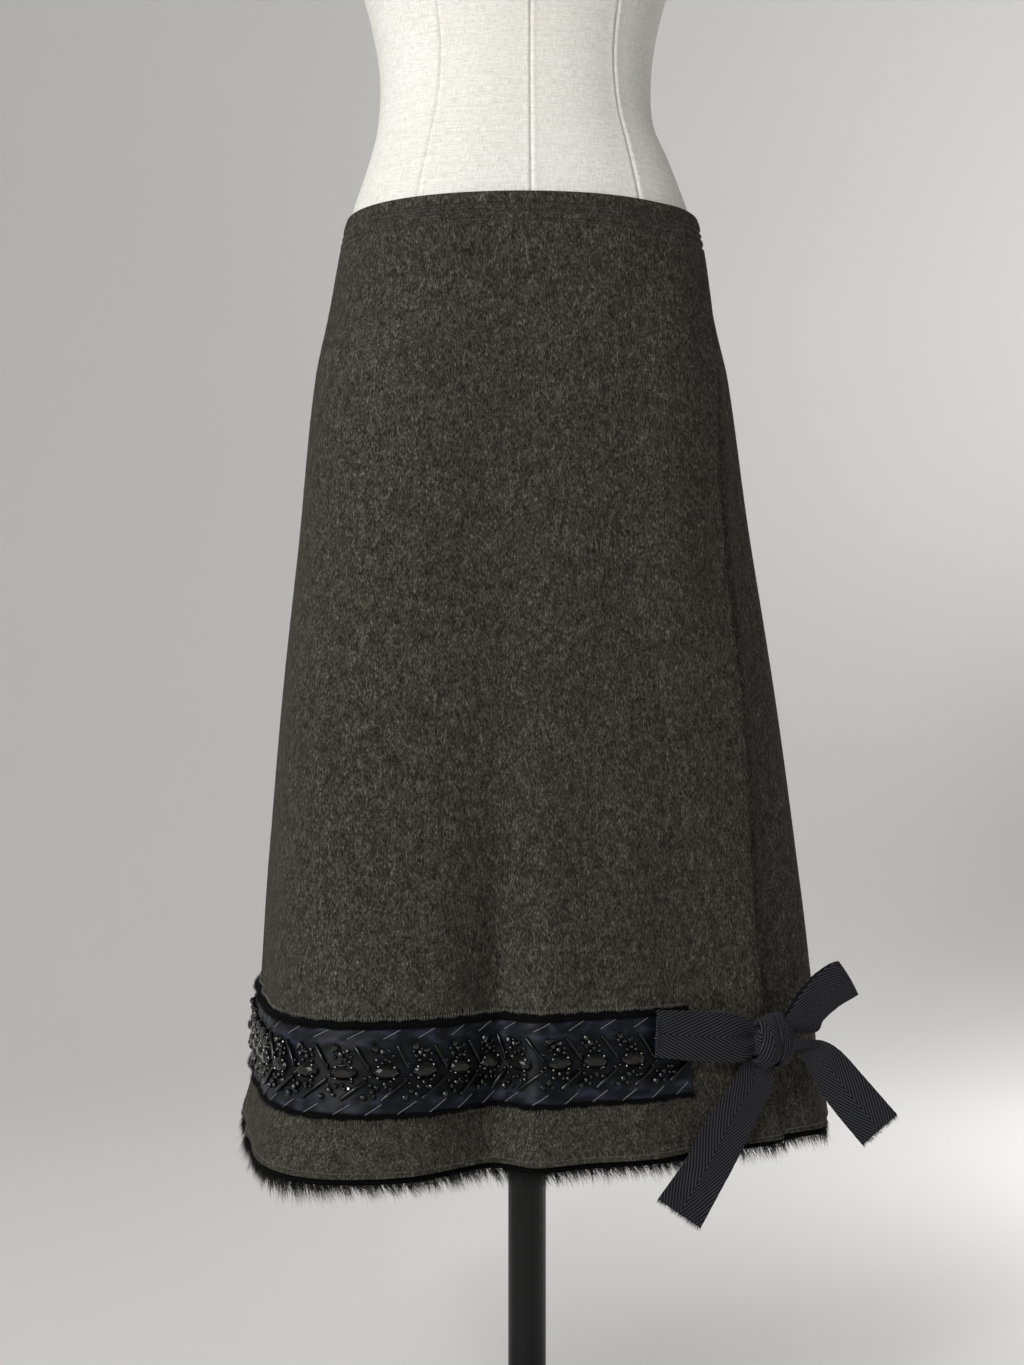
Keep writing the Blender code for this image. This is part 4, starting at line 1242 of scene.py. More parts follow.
def pleat_stitches(path):
    """A short slanting row of stitches along each pleat's crest."""
    stitches = Copies()
    shares = np.linspace(0.0, 1.0, 12)
    for pleats in (UPPER_PLEATS, LOWER_PLEATS):
        run = pleats.length * math.cos(math.atan(pleats.slope))
        for k in range(int(path.length / pleats.pitch)):
            start = pleats.pitch * k + pleats.start + 0.004
            at = start - (shares - 0.5) * run
            up = pleats.low + pleats.stitch_up + shares * run * pleats.slope
            keep = (at > 0.001) & (at < path.length - 0.001) & (up < pleats.high - 0.0002)
            at, up = at[keep], up[keep]
            if len(at) < 4:
                continue
            out = [SATIN_OUT + satin_rise(a, u) + 0.00035 for a, u in zip(at, up)]
            points, outward = path.points(at, up, out)
            stitches.add(*row_of_stitches(list(zip(points, outward)), 0.0030, -0.0004, 0.00020))
    return stitches


class SKIRT_OT_ribbon(bpy.types.Operator):
    """The satin ribbon with its slanting pleats and their stitches"""

    bl_idname = "skirt.ribbon"
    bl_label = "Satin ribbon"

    def execute(self, context):
        trim = context.scene.skirt.trim
        path = trim_path()
        travel = np.linspace(0.0, path.length, round(path.length / SATIN_COLUMN) + 1)
        rows, weave = [], []
        for height in np.linspace(SATIN_LOW, SATIN_HIGH, SATIN_ROWS):
            out = [SATIN_OUT + satin_rise(t, height) for t in travel]
            points, _ = path.points(travel, height, out)
            rows.append([Vector(p) for p in points][::-1])
            weave.append([(-t, height) for t in travel][::-1])
        ribbon = sheet_object("satin_ribbon", rows, satin_finish(trim), SATIN_WALL, -1, weave)
        settle(ribbon, "beaded_ribbon", "trim_ribbon")
        thread = thread_finish("ribbon_thread", (0.20, 0.20, 0.23))
        sewing = pleat_stitches(path).make("ribbon_stitching", rod(), thread, "beaded_ribbon")
        return {"FINISHED"}


# Reach, height and turn of each ring of a stone, from its foot to its table
STONE_RINGS = ((0.96, -0.35, 0.0), (1.0, 0.05, 0.0), (0.80, 0.62, 0.5), (0.50, 1.0, 0.0))
STONE_COLUMNS = 12
STONE_POINTED = 1.12


def cut_stone():
    """An oval stone of half length, half width and height 1: a table, two rows of facets and a girdle."""
    stone = bmesh.new()
    rings = []
    for reach, rise, turn in STONE_RINGS:
        ring = []
        for k in range(STONE_COLUMNS):
            angle = 2 * math.pi * (k + turn) / STONE_COLUMNS
            narrow = abs(math.sin(angle)) ** STONE_POINTED * math.copysign(1.0, math.sin(angle))
            ring.append(stone.verts.new((reach * math.cos(angle), reach * narrow, rise)))
        rings.append(ring)
    foot, girdle, crown, table = rings
    for k in range(STONE_COLUMNS):
        n = (k + 1) % STONE_COLUMNS
        stone.faces.new((foot[k], foot[n], girdle[n], girdle[k]))
        stone.faces.new((girdle[k], girdle[n], crown[k]))
        stone.faces.new((crown[k], girdle[n], crown[n]))
        stone.faces.new((crown[k], crown[n], table[n]))
        stone.faces.new((table[k], crown[k], table[n]))
    stone.faces.new(table)
    stone.faces.new(list(reversed(foot)))
    return stone


def oval_cup():
    """The setting round a stone: a low oval rim of half length and half width 1."""
    cup = bmesh.new()
    bmesh.ops.create_cone(cup, cap_ends=True, segments=16, radius1=0.92, radius2=1.06, depth=1.0)
    top = [face for face in cup.faces if face.normal.z > 0.9]
    bmesh.ops.inset_region(cup, faces=top, thickness=0.10, depth=0.0)
    bmesh.ops.translate(cup, vec=(0, 0, -0.45), verts=list({v for face in top for v in face.verts}))
    return cup


# Millimetres from a stone's centre, right and up, with the bead's radius
ROUND_BEADS = (
    (-8.4, 16.6, 2.8), (-4.4, 12.6, 2.25), (-1.0, 9.2, 1.95), (2.8, 6.9, 1.6),
    (0.6, 14.6, 1.7), (-7.8, 9.6, 1.7), (-3.8, 6.8, 1.4),
    (-12.8, -16.2, 2.5), (-8.4, -12.7, 2.2), (-4.4, -10.0, 2.0), (-0.4, -7.9, 1.75), (4.6, -6.4, 1.5),
    (-5.8, -15.6, 1.75), (4.8, -10.6, 1.7), (17.8, -2.6, 1.4), (-12.6, 5.2, 1.4), (-12.8, -5.2, 1.5),
    (-5.6, 15.4, 1.4), (-1.8, 12.8, 1.5), (3.2, 10.4, 1.35), (-9.6, -8.2, 1.3), (1.6, -10.8, 1.4),
    (-9.8, 13.4, 1.35),
)
# Millimetres from a stone's centre: both ends of each bugle bead
BUGLES = (((16.4, 1.2), (5.2, 18.0)), ((16.0, -5.2), (-0.4, -18.4)))
PRONGS = ((0.62, 0.70), (0.62, -0.70), (-0.62, 0.70), (-0.62, -0.70))
STONE_HEIGHT = 0.0034
STONE_SEAT = 0.0024
CUP_HEIGHT = 0.0026
CUP_DROP = 0.0012
PRONG_UP = 0.0010
PRONG_RADIUS = 0.00075
BUGLE_SEAT = 1.15
BUGLE_FLAT = 1.1
LARGE_BEAD = 1.6
ROUND_SEAT = 0.82
JITTER = 0.0005


def stone_places(length):
    """Distances along the ribbon, with one before its first stone for the beads that reach past it."""
    count = int((length - STONE_START) / STONE_PITCH) + 2
    places = [STONE_START + STONE_PITCH * k for k in range(-1, count)]
    return [at for at in places if at < length - 0.006]


def set_stones(trim, path, places, chance):
    """Stones, cups and claws in a row along the bead line."""
    half_length, half_width = trim.stone_length / 2, trim.stone_width / 2
    stones, cups, prongs = Copies(), Copies(), Copies()
    for at in places:
        (centre,), (out,) = path.points(at, BEAD_LINE, SATIN_OUT + STONE_SEAT)
        (left,), _ = path.points(at + 0.004, BEAD_LINE, SATIN_OUT)
        (right,), _ = path.points(at - 0.004, BEAD_LINE, SATIN_OUT)
        tilt = chance.normal(0.0, 0.05)
        along = Vector(right - left).normalized()
        outward = Vector(out)
        along = (along + outward.cross(along) * tilt).normalized()
        upward = outward.cross(along).normalized()
        turn = np.array(Matrix((along, upward, outward)).transposed())
        centre = centre - np.array(along) * chance.normal(0.0, 0.0004)
        stones.add([centre], [turn * np.array([half_length, half_width, STONE_HEIGHT])])
        cup = turn * np.array([half_length, half_width * 1.03, CUP_HEIGHT])
        cups.add([centre - np.array(outward) * CUP_DROP], [cup])
        for x, y in PRONGS:
            spot = turn @ np.array([x * half_length, y * half_width * 1.12, PRONG_UP])
            prongs.add([centre + spot], [turn * PRONG_RADIUS])
    return stones, cups, prongs


def sew_bugles(trim, path, places, chance):
    """Bugle beads in chevrons between the stones."""
    bugles = Copies()
    for at in places:
        for (x1, y1), (x2, y2) in BUGLES:
            jitter = chance.normal(0.0, JITTER, 4)
            travel = np.array([at - x1 * MM + jitter[0], at - x2 * MM + jitter[1]])
            heights = np.array([BEAD_LINE + y1 * MM + jitter[2], BEAD_LINE + y2 * MM + jitter[3]])
            if travel.min() < 0.001 or travel.max() > path.length - 0.001:
                continue
            rises = [satin_rise(t, h) for t, h in zip(travel, heights)]
            ends, outs = path.points(travel, heights, SATIN_OUT + trim.bugle * BUGLE_SEAT + np.array(rises))
            run, out = ends[1] - ends[0], outs.mean(0)
            length = np.linalg.norm(run)
            frames = frames_along(run[None], out[None], trim.bugle, trim.bugle * BUGLE_FLAT, length)
            bugles.add([ends.mean(0)], frames)
    return bugles


def sew_round_beads(path, places, chance):
    """Round beads above and below the stones: the small ones and the large ones."""
    small, large = Copies(), Copies()
    for at in places:
        for x, y, radius in ROUND_BEADS:
            jx, jy = chance.normal(0.0, JITTER, 2)
            travel, height = at - x * MM + jx, BEAD_LINE + y * MM + jy
            size = radius * MM * chance.uniform(0.92, 1.08)
            if travel < 0.002 or travel > path.length - 0.002:
                continue
            rise = satin_rise(travel, height)
            spot, out = path.points(travel, height, SATIN_OUT + rise + size * ROUND_SEAT)
            spin = chance.uniform(0, math.pi)
            tilted = [[math.cos(spin), math.sin(spin), chance.uniform(-0.5, 0.5)]]
            beads = large if radius > LARGE_BEAD else small
            beads.add(spot, frames_along(tilted, out, size, size, size * 0.94))
    return small, large


class SKIRT_OT_beads(bpy.types.Operator):
    """Cut stones in their settings, bugle beads in chevrons and round beads"""

    bl_idname = "skirt.beads"
    bl_label = "Beads"

    def execute(self, context):
        trim = context.scene.skirt.trim
        path = trim_path()
        chance = np.random.default_rng(37)
        places = stone_places(path.length)
        slot = "beaded_ribbon"
        stones, cups, prongs = set_stones(trim, path, places[1:], chance)
        stone = glass_finish("cut_black_stone", (0.0060, 0.0060, 0.0052), 0.02, 0.0, 0.36)
        metal = glass_finish("blackened_setting", (0.16, 0.16, 0.165), 0.22, 1.0, 0.6)
        # The claws get a lighter metal than their cup, which paints their glints.
        glinting_claw_metal = glass_finish("setting_claws", (0.55, 0.55, 0.56), 0.18, 1.0, 0.6)
        stones.make("cut_stones", cut_stone(), stone, slot, smooth=False)
        cups.make("stone_settings", oval_cup(), metal, slot, smooth=False)
        prongs.make("stone_claws", pebble(6, 4), glinting_claw_metal, slot)
        black = glass_finish("black_glass", (0.0012, 0.0012, 0.0015), 0.07, 0.0, 0.34)
        sew_bugles(trim, path, places, chance).make("bugle_beads", rod(8, 0.35), black, slot)
        small, large = sew_round_beads(path, places, chance)
        cut = glass_finish("faceted_glass", (0.0018, 0.0018, 0.0020), 0.10, 0.0, 0.62)
        small.make("small_round_beads", pebble(8, 6), cut, slot)
        large.make("faceted_round_beads", pebble(8, 6), cut, slot, smooth=False)
        return {"FINISHED"}


# Share of the edge's height and how far out, from its lower fold to its upper one
VELVET_PROFILE = (
    (0.0, 0.0003),
    (0.06, 0.0016),
    (0.25, 0.0026),
    (0.5, 0.0031),
    (0.75, 0.0026),
    (0.94, 0.0016),
    (1.0, 0.0003),
)
VELVET_COLUMN = 0.002
VELVET_WALL = 0.0003
PILE_LENGTH = 0.0019
PILE_RADIUS = 0.00011
EDGE_STITCH_PITCH = 0.0019
EDGE_STITCH_OUT = 0.0010


def velvet_rows(path, low, high, away):
    """Rows of a velvet edge, wavy along the side that lies on the wool."""
    travel = np.linspace(0.0, path.length, round(path.length / VELVET_COLUMN) + 1)
    wave = 0.0005 * np.sin(travel * 310) + 0.0004 * np.sin(travel * 730 + 1.0)
    rows = []
    for share, rise in VELVET_PROFILE:
        outer = share if away > 0 else 1 - share
        height = low + (high - low) * share + away * wave * outer
        points, _ = path.points(travel, height, TRIM_GAP + rise)
        rows.append([Vector(p) for p in points][::-1])
    return rows


def velvet_pile(side, rows, away, count, pile, chance):
    """Pile that stands off an edge and leans over the wool, shaggier at the skirt's corner."""
    spot, along, up, normal = Patch(rows).sample(chance.random(count), chance.random(count))
    shaggy = 1 + 0.9 * np.clip(-spot[:, 0] - 0.14, 0, 0.05) / 0.05
    leaning = up * away * chance.uniform(-0.1, 0.9, count)[:, None]
    direction = normal + leaning + along * chance.normal(0, 0.35, count)[:, None]
    length = PILE_LENGTH * chance.uniform(0.5, 1.0, count) * shaggy
    frames = frames_along(direction, along, PILE_RADIUS, PILE_RADIUS, length)
    fibres = scatter(f"velvet_pile_{side}", spike(), spot, frames, pile, chance.random(count) ** 2)
    settle(fibres, "velvet")
    return fibres


def edge_sewing(side, path, edge_height, away, chance):
    """Upright hand stitches that hold a velvet edge to the wool."""
    at = np.arange(0.004, path.length - 0.004, EDGE_STITCH_PITCH)
    at = at + chance.normal(0, 0.0003, len(at))
    reach = chance.uniform(0.0014, 0.0024, len(at))
    centre, out = path.points(at, edge_height + away * reach * 0.4, EDGE_STITCH_OUT)
    upright = np.tile([0, 0, 1.0], (len(at), 1)) + chance.normal(0, 0.12, (len(at), 3))
    turns = frames_along(upright, out, 0.00020, 0.00018, reach * 1.7)
    thread = thread_finish(f"edge_thread_{side}", (0.15, 0.145, 0.125))
    sewing = scatter(f"edge_sewing_{side}", rod(5, 0), centre, turns, thread)
    settle(sewing, "velvet")
    return sewing


class SKIRT_OT_velvet(bpy.types.Operator):
    """The velvet edges above and below the ribbon, with their pile and sewing"""

    bl_idname = "skirt.velvet"
    bl_label = "Velvet edges"

    def execute(self, context):
        trim = context.scene.skirt.trim
        path = trim_path()
        chance = np.random.default_rng(41)
        ground = ground_finish("velvet_ground", trim.velvet, 0.95)
        pile = pile_finish("velvet_pile", trim.velvet, 2.4, 0.75)
        edges = (
            ("top", TRIM_TOP - TOP_EDGE_HEIGHT, TRIM_TOP, 1.0, TRIM_TOP + 0.0002),
            ("bottom", TRIM_BOTTOM, TRIM_BOTTOM + BOTTOM_EDGE_HEIGHT, -1.0, TRIM_BOTTOM - 0.0002),
        )
        for side, low, high, away, sewn_at in edges:
            rows = velvet_rows(path, low, high, away)
            strip = sheet_object(f"velvet_edge_{side}", rows, ground, VELVET_WALL, -1)
            settle(strip, "velvet", f"trim_edge_{side}")
            fibres = velvet_pile(side, rows, away, trim.pile_count, pile, chance)
            sewing = edge_sewing(side, path, sewn_at, away, chance)
        return {"FINISHED"}


# Bow

def knot_frame():
    """The knot's centre, and its directions: along to the right, out, and up."""
    foot, top = (place(front_radius, KNOT_BEARING, h) for h in (TRIM_BOTTOM, TRIM_TOP))
    foot_out = place(front_radius, KNOT_BEARING, TRIM_BOTTOM, 1.0) - foot
    top_out = place(front_radius, KNOT_BEARING, TRIM_TOP, 1.0) - top
    out, up = (foot_out + top_out).normalized(), Vector((0, 0, 1))
    seat = foot.lerp(top, (KNOT_HEIGHT - TRIM_BOTTOM) / (TRIM_TOP - TRIM_BOTTOM))
    return seat + out * KNOT_OUT, up.cross(out), out, up


def tape_stations(table, centre):
    """A bow table's edge points in the part's frame."""
    facing = math.radians(BOW_FACING)
    towards = Vector((math.sin(facing), -math.cos(facing), 0))
    up = Vector((0, 0, 1))
    right = up.cross(towards)
    stations = []
    for row in table:
        first, second = (centre + (right * a + towards * b + up * c) * MM for a, b, c in (row[:3], row[3:]))
        stations.append((first, second))
    return stations


TAPE_HALF_WIDTH = 0.0175
TAPE_COLUMNS = 14
TAPE_STEPS = 14
TAPE_BEVEL = 0.0003
GATHER_LENGTH = 0.030
NUB_REACH = 0.00022
NUB_PITCH = 0.0026
FRAY_COUNT = 240
FRAY_RADIUS = 0.00022
FRAY_ROOT = 0.0003
KNOT_WALL = 0.0009
KNOT_TURNS = 40
KNOT_COLUMNS = 10
KNOT_TAPE_LENGTH = 0.1

Tape = namedtuple("Tape", "name table node crown gather_start gather_end flat_length", defaults=(None,))
TAPES = (
    Tape("tape_loop_left", LEFT_LOOP, "bow_loop_left", 0.0012, 0.0042, 0.0012, 0.172),
    Tape("tape_loop_right", RIGHT_LOOP, "bow_loop_right", 0.0010, 0.0012, 0.0010, 0.142),
    Tape("tape_tail_left", LEFT_TAIL, "bow_tail_left", 0.0014, 0.0022, 0.0, 0.134),
    Tape("tape_tail_right", RIGHT_TAIL, "bow_tail_right", 0.0010, 0.0010, 0.0, 0.118),
)
TURN = Tape("tape_tail_right_turn", TAIL_TURN, None, 0.0012, 0.0, 0.0)


def tape_rows(tape, centre):
    """Rows of a tape from its two edges, with a soft crown, gathers at the knot and nubbly selvedges."""
    stations = smooth_path(tape_stations(tape.table, centre), TAPE_STEPS)
    travel = [0.0]
    for (a, b), (c, d) in zip(stations, stations[1:]):
        travel.append(travel[-1] + ((a + b) / 2 - (c + d) / 2).length)
    rows, weave = [], []
    for i, (first, second) in enumerate(stations):
        before, after = stations[max(i - 1, 0)], stations[min(i + 1, len(stations) - 1)]
        run = (after[0] + after[1] - before[0] - before[1]).normalized()
        across = second - first
        normal = across.cross(run).normalized()
        near_start = 1 - ramp(travel[i], 0.0, GATHER_LENGTH)
        near_end = 1 - ramp(travel[-1] - travel[i], 0.0, GATHER_LENGTH)
        gather = tape.gather_start * near_start + tape.gather_end * near_end
        nubs = NUB_REACH * math.sin(travel[i] / NUB_PITCH * 2 * math.pi)
        turning = (before[0] + before[1] + after[0] + after[1] - (first + second) * 2).length / 2
        soft = 1 - ramp(turning, 0.00005, 0.0004)
        row, uvs = [], []
        for k in range(TAPE_COLUMNS + 1):
            share = k / TAPE_COLUMNS
            side = 2 * share - 1
            fold = math.cos(side * 2.2 * math.pi + 0.6) * (1 - side**4)
            out = tape.crown * (1 - side * side) * soft + gather * fold * 0.6
            if k in (0, TAPE_COLUMNS):
                share += math.copysign(nubs / (2 * TAPE_HALF_WIDTH), side)
            row.append(first + across * share + normal * out)
            uvs.append((side * TAPE_HALF_WIDTH, travel[i]))
        rows.append(row)
        weave.append(uvs)
    return rows, weave


def frayed_end(name, rows, thread, chance):
    """Loose threads at a tail's cut end."""
    spot, side, run, normal = Patch(rows).sample(np.full(FRAY_COUNT, 0.999), chance.random(FRAY_COUNT))
    sideways = side * chance.normal(0, 0.35, FRAY_COUNT)[:, None]
    direction = run + sideways + normal * chance.normal(0, 0.3, FRAY_COUNT)[:, None]
    length = chance.uniform(0.0012, 0.0048, FRAY_COUNT)
    frames = frames_along(direction, normal, FRAY_RADIUS, FRAY_RADIUS, length)
    fray = scatter(name, spike(2, 0.2), spot - run * FRAY_ROOT, frames, thread)
    settle(fray, "tape")
    return fray


# A turn of tape round the knot: its middle and width along the knot, lean, size, and place on the weave's map
Band = namedtuple("Band", "middle width lean size start_uv")
KNOT_BANDS = (Band(-0.0078, 0.0190, 0.0018, 0.97, 0.0), Band(0.0078, 0.0160, -0.0034, 1.05, 0.13))


def knot_band(knot, band, centre, along, out, up):
    """One turn of tape round the knot, added to a bmesh as a closed loft with its weave's map."""
    layer = knot.loops.layers.uv.verify()
    rows = []
    for i in range(KNOT_TURNS):
        angle = 2 * math.pi * i / KNOT_TURNS + math.pi
        row = []
        for k in range(KNOT_COLUMNS + 1):
            side = 2 * k / KNOT_COLUMNS - 1
            shift = band.middle + band.width / 2 * side + band.lean * math.sin(angle)
            narrow = math.sqrt(max(1 - (shift / (KNOT_HALF_LENGTH * 1.10)) ** 2, 0.12))
            crown = 1 + 0.05 * (1 - side * side) - 0.05 * abs(side) ** 6
            crease = 0.0005 * math.sin(side * 6 + 1.5 * math.cos(angle))
            depth = KNOT_HALF_DEPTH * band.size * narrow**0.45 * crown + crease
            height = KNOT_HALF_HEIGHT * band.size * narrow**0.35 * crown + crease
            point = centre + along * shift + out * depth * math.cos(angle) + up * height * math.sin(angle)
            row.append(knot.verts.new(point))
        rows.append(row)
    for i in range(KNOT_TURNS):
        following = rows[(i + 1) % KNOT_TURNS]
        for k in range(KNOT_COLUMNS):
            face = knot.faces.new((rows[i][k], rows[i][k + 1], following[k + 1], following[k]))
            face.smooth = True
            for loop, (du, dv) in zip(face.loops, ((k, i), (k + 1, i), (k + 1, i + 1), (k, i + 1))):
                run = dv * KNOT_TAPE_LENGTH / KNOT_TURNS
                across = (2 * du / KNOT_COLUMNS - 1) * band.width / 2 + 0.0006
                sheared = 0.3 * (run - KNOT_TAPE_LENGTH / 2)
                loop[layer].uv = (across + sheared, band.start_uv + run)


def knot_shape(centre, along, out, up):
    """The knot: a core with two turns of tape round it, all with the weave's map."""
    knot = bmesh.new()
    layer = knot.loops.layers.uv.new("weave")
    axes = Matrix((out, along, up)).transposed().to_4x4()
    size = Matrix.Diagonal((KNOT_HALF_DEPTH * 0.93, KNOT_HALF_LENGTH * 0.97, KNOT_HALF_HEIGHT * 0.90, 1.0))
    core = Matrix.Translation(centre) @ axes @ size
    bmesh.ops.create_uvsphere(knot, u_segments=24, v_segments=14, radius=1.0, matrix=core)
    for face in knot.faces:
        for loop in face.loops:
            reach = loop.vert.co - centre
            loop[layer].uv = (reach.dot(up) + 0.02, reach.dot(out) - reach.dot(along))
    for band in KNOT_BANDS:
        knot_band(knot, band, centre, along, out, up)
    return knot


class SKIRT_OT_bow(bpy.types.Operator):
    """The bow of twill tape: two loops, two tails with frayed ends and the knot"""

    bl_idname = "skirt.bow"
    bl_label = "Bow"

    def execute(self, context):
        bow = context.scene.skirt.bow
        twill = tape_finish(bow)
        centre, along, out, up = knot_frame()
        chance = np.random.default_rng(53)
        thread = thread_finish("frayed_thread", (0.018, 0.018, 0.023))
        for tape in TAPES:
            rows, weave = tape_rows(tape, centre)
            piece = sheet_object(tape.name, rows, twill, bow.thickness, 0, weave, TAPE_BEVEL, even=False)
            settle(piece, "tape", tape.node)
            if tape.table is RIGHT_TAIL:
                turned, weave = tape_rows(TURN, centre)
                turn = sheet_object(TURN.name, turned, twill, bow.thickness, 0, weave, TAPE_BEVEL, even=False)
                settle(turn, "tape")
            if tape.table in (LEFT_TAIL, RIGHT_TAIL):
                frayed_end(f"{tape.name}_fray", rows, thread, chance)
        piece = from_bmesh("tape_knot", knot_shape(centre, along, out, up), twill)
        wall = piece.modifiers.new("Wall", "SOLIDIFY")
        wall.thickness = KNOT_WALL
        wall.offset = -1
        settle(piece, "tape", "bow_knot")
        return {"FINISHED"}


# Dress form and stand

FORM_SEAMS = (-6.6, 38.6, -48.6, -97.0, 90.0, 173.4, 134.0, -142.0)
# Columns beside each seam, in degrees from it, and the step between the others
SEAM_COLUMNS = (-3.2, -2.3, -1.6, -1.0, -0.6, -0.3, 0.0, 0.3, 0.6, 1.0, 1.6, 2.3, 3.2)
COLUMN_ANGLE = 2.5
SEAM_ZONE = 4.0
LOW_ROWS = (FORM_BOTTOM, 0.8015, 0.8035, 0.806, 0.812, 0.820)
TOP_ROWS = (1.560, 1.5635, FORM_TOP)
PLAIN_ROWS_TO = 1.555
PLAIN_ROWS = 92


def form_relief(bearing, depth):
    """The linen sinks at a seam and stands a little proud beside it."""
    relief = 0.0
    for seam in FORM_SEAMS:
        distance = abs(away_from(bearing, seam))
        if distance < SEAM_ZONE:
            relief += -depth * bell(distance, 0.9) + depth * 0.35 * bell(distance - 1.7, 1.3)
    return relief


def torso_shape(seam_depth):
    """The whole closed torso, with its linen's own map."""
    fine = {round((seam + offset) % 360.0, 3) for seam in FORM_SEAMS for offset in SEAM_COLUMNS}
    even = [COLUMN_ANGLE * k for k in range(round(360.0 / COLUMN_ANGLE))]
    coarse = {b for b in even if min(abs(away_from(b, seam)) for seam in FORM_SEAMS) > SEAM_ZONE}
    bearings = sorted(fine | coarse)
    bearings.append(bearings[0] + 360.0)
    start = LOW_ROWS[-1]
    plain = [start + (PLAIN_ROWS_TO - start) * k / PLAIN_ROWS for k in range(1, PLAIN_ROWS + 1)]
    heights = [*LOW_ROWS, *plain, *TOP_ROWS]
    torso = bmesh.new()
    bmesh.ops.create_grid(torso, x_segments=len(bearings) - 1, y_segments=len(heights) - 1, size=1.0)
    torso.verts.index_update()
    width = len(bearings)
    layer = torso.loops.layers.uv.new("weave")
    for vert in torso.verts:
        row, column = divmod(vert.index, width)
        bearing, height = bearings[column], heights[row]
        end = ramp(height, FORM_BOTTOM, LOW_ROWS[-2]) * ramp(-height, -FORM_TOP, -PLAIN_ROWS_TO)
        vert.co = place(form_radius, bearing, height, form_relief(bearing, seam_depth) * end)
    for face in torso.faces:
        for loop in face.loops:
            row, column = divmod(loop.vert.index, width)
            loop[layer].uv = (math.radians(bearings[column]) * 0.125, heights[row])
    bmesh.ops.remove_doubles(torso, verts=torso.verts[:], dist=0.00001)
    rims = [edge for edge in torso.edges if edge.is_boundary]
    bmesh.ops.holes_fill(torso, edges=rims, sides=0)
    bmesh.ops.recalc_face_normals(torso, faces=torso.faces[:])
    flat = [face for face in torso.faces if len(face.verts) > 4]
    bmesh.ops.triangulate(torso, faces=flat)
    return torso


class SKIRT_OT_dress_form(bpy.types.Operator):
    """The padded torso in linen, with its seams, and the black stand"""

    bl_idname = "skirt.dress_form"
    bl_label = "Dress form"

    def execute(self, context):
        form = context.scene.skirt.form
        piece = from_bmesh("dress_form_linen", torso_shape(form.seam_depth), linen_finish(form))
        piece.data.set_sharp_from_angle(angle=math.radians(50))
        settle(piece, "linen", "form_torso")
        steel = steel_finish(form)
        for node in ("stand_base", "stand_pole", "stand_socket"):
            frame["nodes"][node].material_slots[0].material = steel
        return {"FINISHED"}


# Stage

CAMERA_PLACE = (-0.2275, -1.5333, 0.623)
CAMERA_BEARING = -8.0
CAMERA_LENS = 51.69
COVE_RADIUS = 3.6
COVE_TOP = 5.4
COVE_STEPS = 32

# Where each light is and aims, the setting that its power is a share of, and whether it lights only the
# backdrop
Light = namedtuple("Light", "name spot target size setting share colour backdrop_only")
LIGHTS = (
    Light("window_light", (-2.85, -2.6, 2.5), (0.0, 0.0, 0.95), 3.0, "key", 1.0, (1.0, 0.995, 0.985), False),
    Light("lamp_light", (-1.5, -2.3, 1.9), (0.0, 0.0, 0.75), 0.25, "key", 0.085, (1.0, 0.98, 0.95), False),
    Light("fill_light", (2.2, -2.6, 1.3), (0.0, 0.0, 0.75), 2.2, "fill", 1.0, (0.96, 0.98, 1.0), False),
    Light("wall_light", (2.2, 2.4, 2.6), (1.4, 4.7, 2.4), 1.4, "wall_power", 1.0, (1.0, 1.0, 1.0), True),
    Light("floor_light", (1.5, 0.7, 0.9), (0.8, 0.6, 0.0), 0.7, "wall_power", 0.75, (1.0, 1.0, 1.0), True),
)


def cove_shape(radius):
    """A floor that bends up into a round wall."""
    flat = radius - COVE_RADIUS
    profile = [(0.0, 0.0), (flat, 0.0)]
    for k in range(1, COVE_STEPS + 1):
        angle = math.radians(90 * k / COVE_STEPS)
        profile.append((flat + COVE_RADIUS * math.sin(angle), COVE_RADIUS - COVE_RADIUS * math.cos(angle)))
    profile.append((radius, COVE_TOP))
    cove = bmesh.new()
    points = [cove.verts.new((reach, 0.0, height)) for reach, height in profile]
    edges = [cove.edges.new(pair) for pair in zip(points, points[1:])]
    bmesh.ops.spin(
        cove, geom=points + edges, cent=(0, 0, 0), axis=(0, 0, 1), dvec=(0, 0, 0),
        angle=2 * math.pi, steps=96, use_merge=True, use_duplicate=False,
    )
    bmesh.ops.remove_doubles(cove, verts=cove.verts[:], dist=0.0001)
    bmesh.ops.recalc_face_normals(cove, faces=cove.faces[:])
    return cove


def hang_light(row, power):
    data = bpy.data.lights.new(row.name, "AREA")
    data.shape = "SQUARE"
    data.size = row.size
    data.energy = power
    data.color = row.colour
    light = bpy.data.objects.new(row.name, data)
    light.location = row.spot
    aim = Vector(row.target) - Vector(row.spot)
    light.rotation_euler = aim.to_track_quat("-Z", "Y").to_euler()
    light.visible_camera = False
    bpy.context.scene.collection.objects.link(light)
    return light


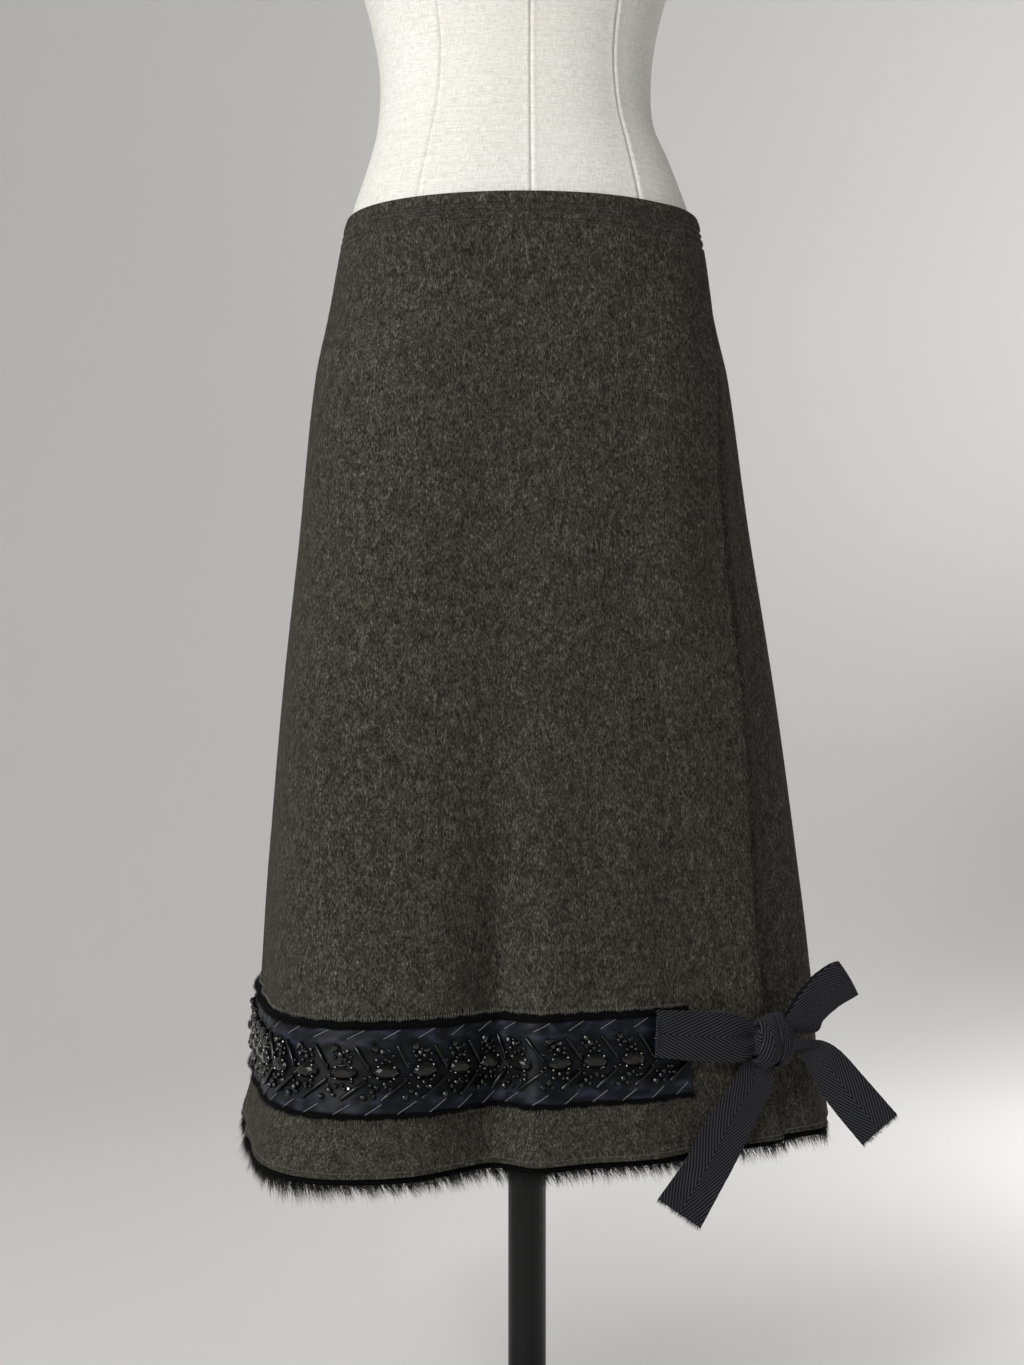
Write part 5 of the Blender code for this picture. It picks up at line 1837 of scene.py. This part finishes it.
class SKIRT_OT_stage(bpy.types.Operator):
    """Round seamless backdrop, soft lights and the camera"""

    bl_idname = "skirt.stage"
    bl_label = "Stage"

    def execute(self, context):
        stage = context.scene.skirt.stage
        backdrop = from_bmesh("backdrop", cove_shape(stage.radius), paper_finish(stage))
        behind = bpy.data.collections.new("backdrop_only")
        behind.objects.link(backdrop)
        for row in LIGHTS:
            light = hang_light(row, getattr(stage, row.setting) * row.share)
            if row.backdrop_only:
                light.light_linking.receiver_collection = behind

        world = bpy.data.worlds.new("room")
        world.use_nodes = True
        room = world.node_tree.nodes["Background"]
        room.inputs["Color"].default_value = (0.95, 0.97, 1.0, 1.0)
        room.inputs["Strength"].default_value = stage.sky
        context.scene.world = world
        context.scene.view_settings.view_transform = "Standard"

        view = bpy.data.cameras.new("photo_camera")
        view.lens = CAMERA_LENS
        view.sensor_width = 36.0
        view.clip_start = 0.05
        view.clip_end = 60.0
        camera = bpy.data.objects.new("photo_camera", view)
        camera.location = CAMERA_PLACE
        camera.rotation_euler = (math.radians(90), 0.0, math.radians(CAMERA_BEARING))
        context.scene.collection.objects.link(camera)
        context.scene.camera = camera
        return {"FINISHED"}


STEPS = (
    SKIRT_OT_dress_form,
    SKIRT_OT_wool_panels,
    SKIRT_OT_wool_nap,
    SKIRT_OT_stitching,
    SKIRT_OT_fur,
    SKIRT_OT_ribbon,
    SKIRT_OT_beads,
    SKIRT_OT_velvet,
    SKIRT_OT_bow,
    SKIRT_OT_stage,
)


class SKIRT_PT_panel(bpy.types.Panel):
    """Lists the skirt's steps and settings"""

    bl_idname = "SKIRT_PT_panel"
    bl_label = "Skirt on a dress form"
    bl_space_type = "VIEW_3D"
    bl_region_type = "UI"
    bl_category = "Skirt"

    def draw(self, context):
        settings = context.scene.skirt
        for step in STEPS:
            self.layout.operator(step.bl_idname)
        for name in ("cloth", "fur", "trim", "bow", "form", "stage"):
            group = getattr(settings, name)
            box = self.layout.box()
            box.label(text=name.capitalize())
            for key in group.bl_rna.properties.keys():
                if key not in ("rna_type", "name"):
                    box.prop(group, key)


GROUPS = (
    SkirtClothSettings,
    SkirtFurSettings,
    SkirtTrimSettings,
    SkirtBowSettings,
    SkirtFormSettings,
    SkirtStageSettings,
    SkirtSettings,
)


def register():
    for cls in (*GROUPS, *STEPS, SKIRT_PT_panel):
        bpy.utils.register_class(cls)
    bpy.types.Scene.skirt = PointerProperty(type=SkirtSettings)


def unregister():
    del bpy.types.Scene.skirt
    for cls in reversed((*GROUPS, *STEPS, SKIRT_PT_panel)):
        bpy.utils.unregister_class(cls)


def main():
    register()
    for step in STEPS:
        getattr(bpy.ops.skirt, step.bl_idname.split(".")[1])()


if __name__ == "__main__":
    main()
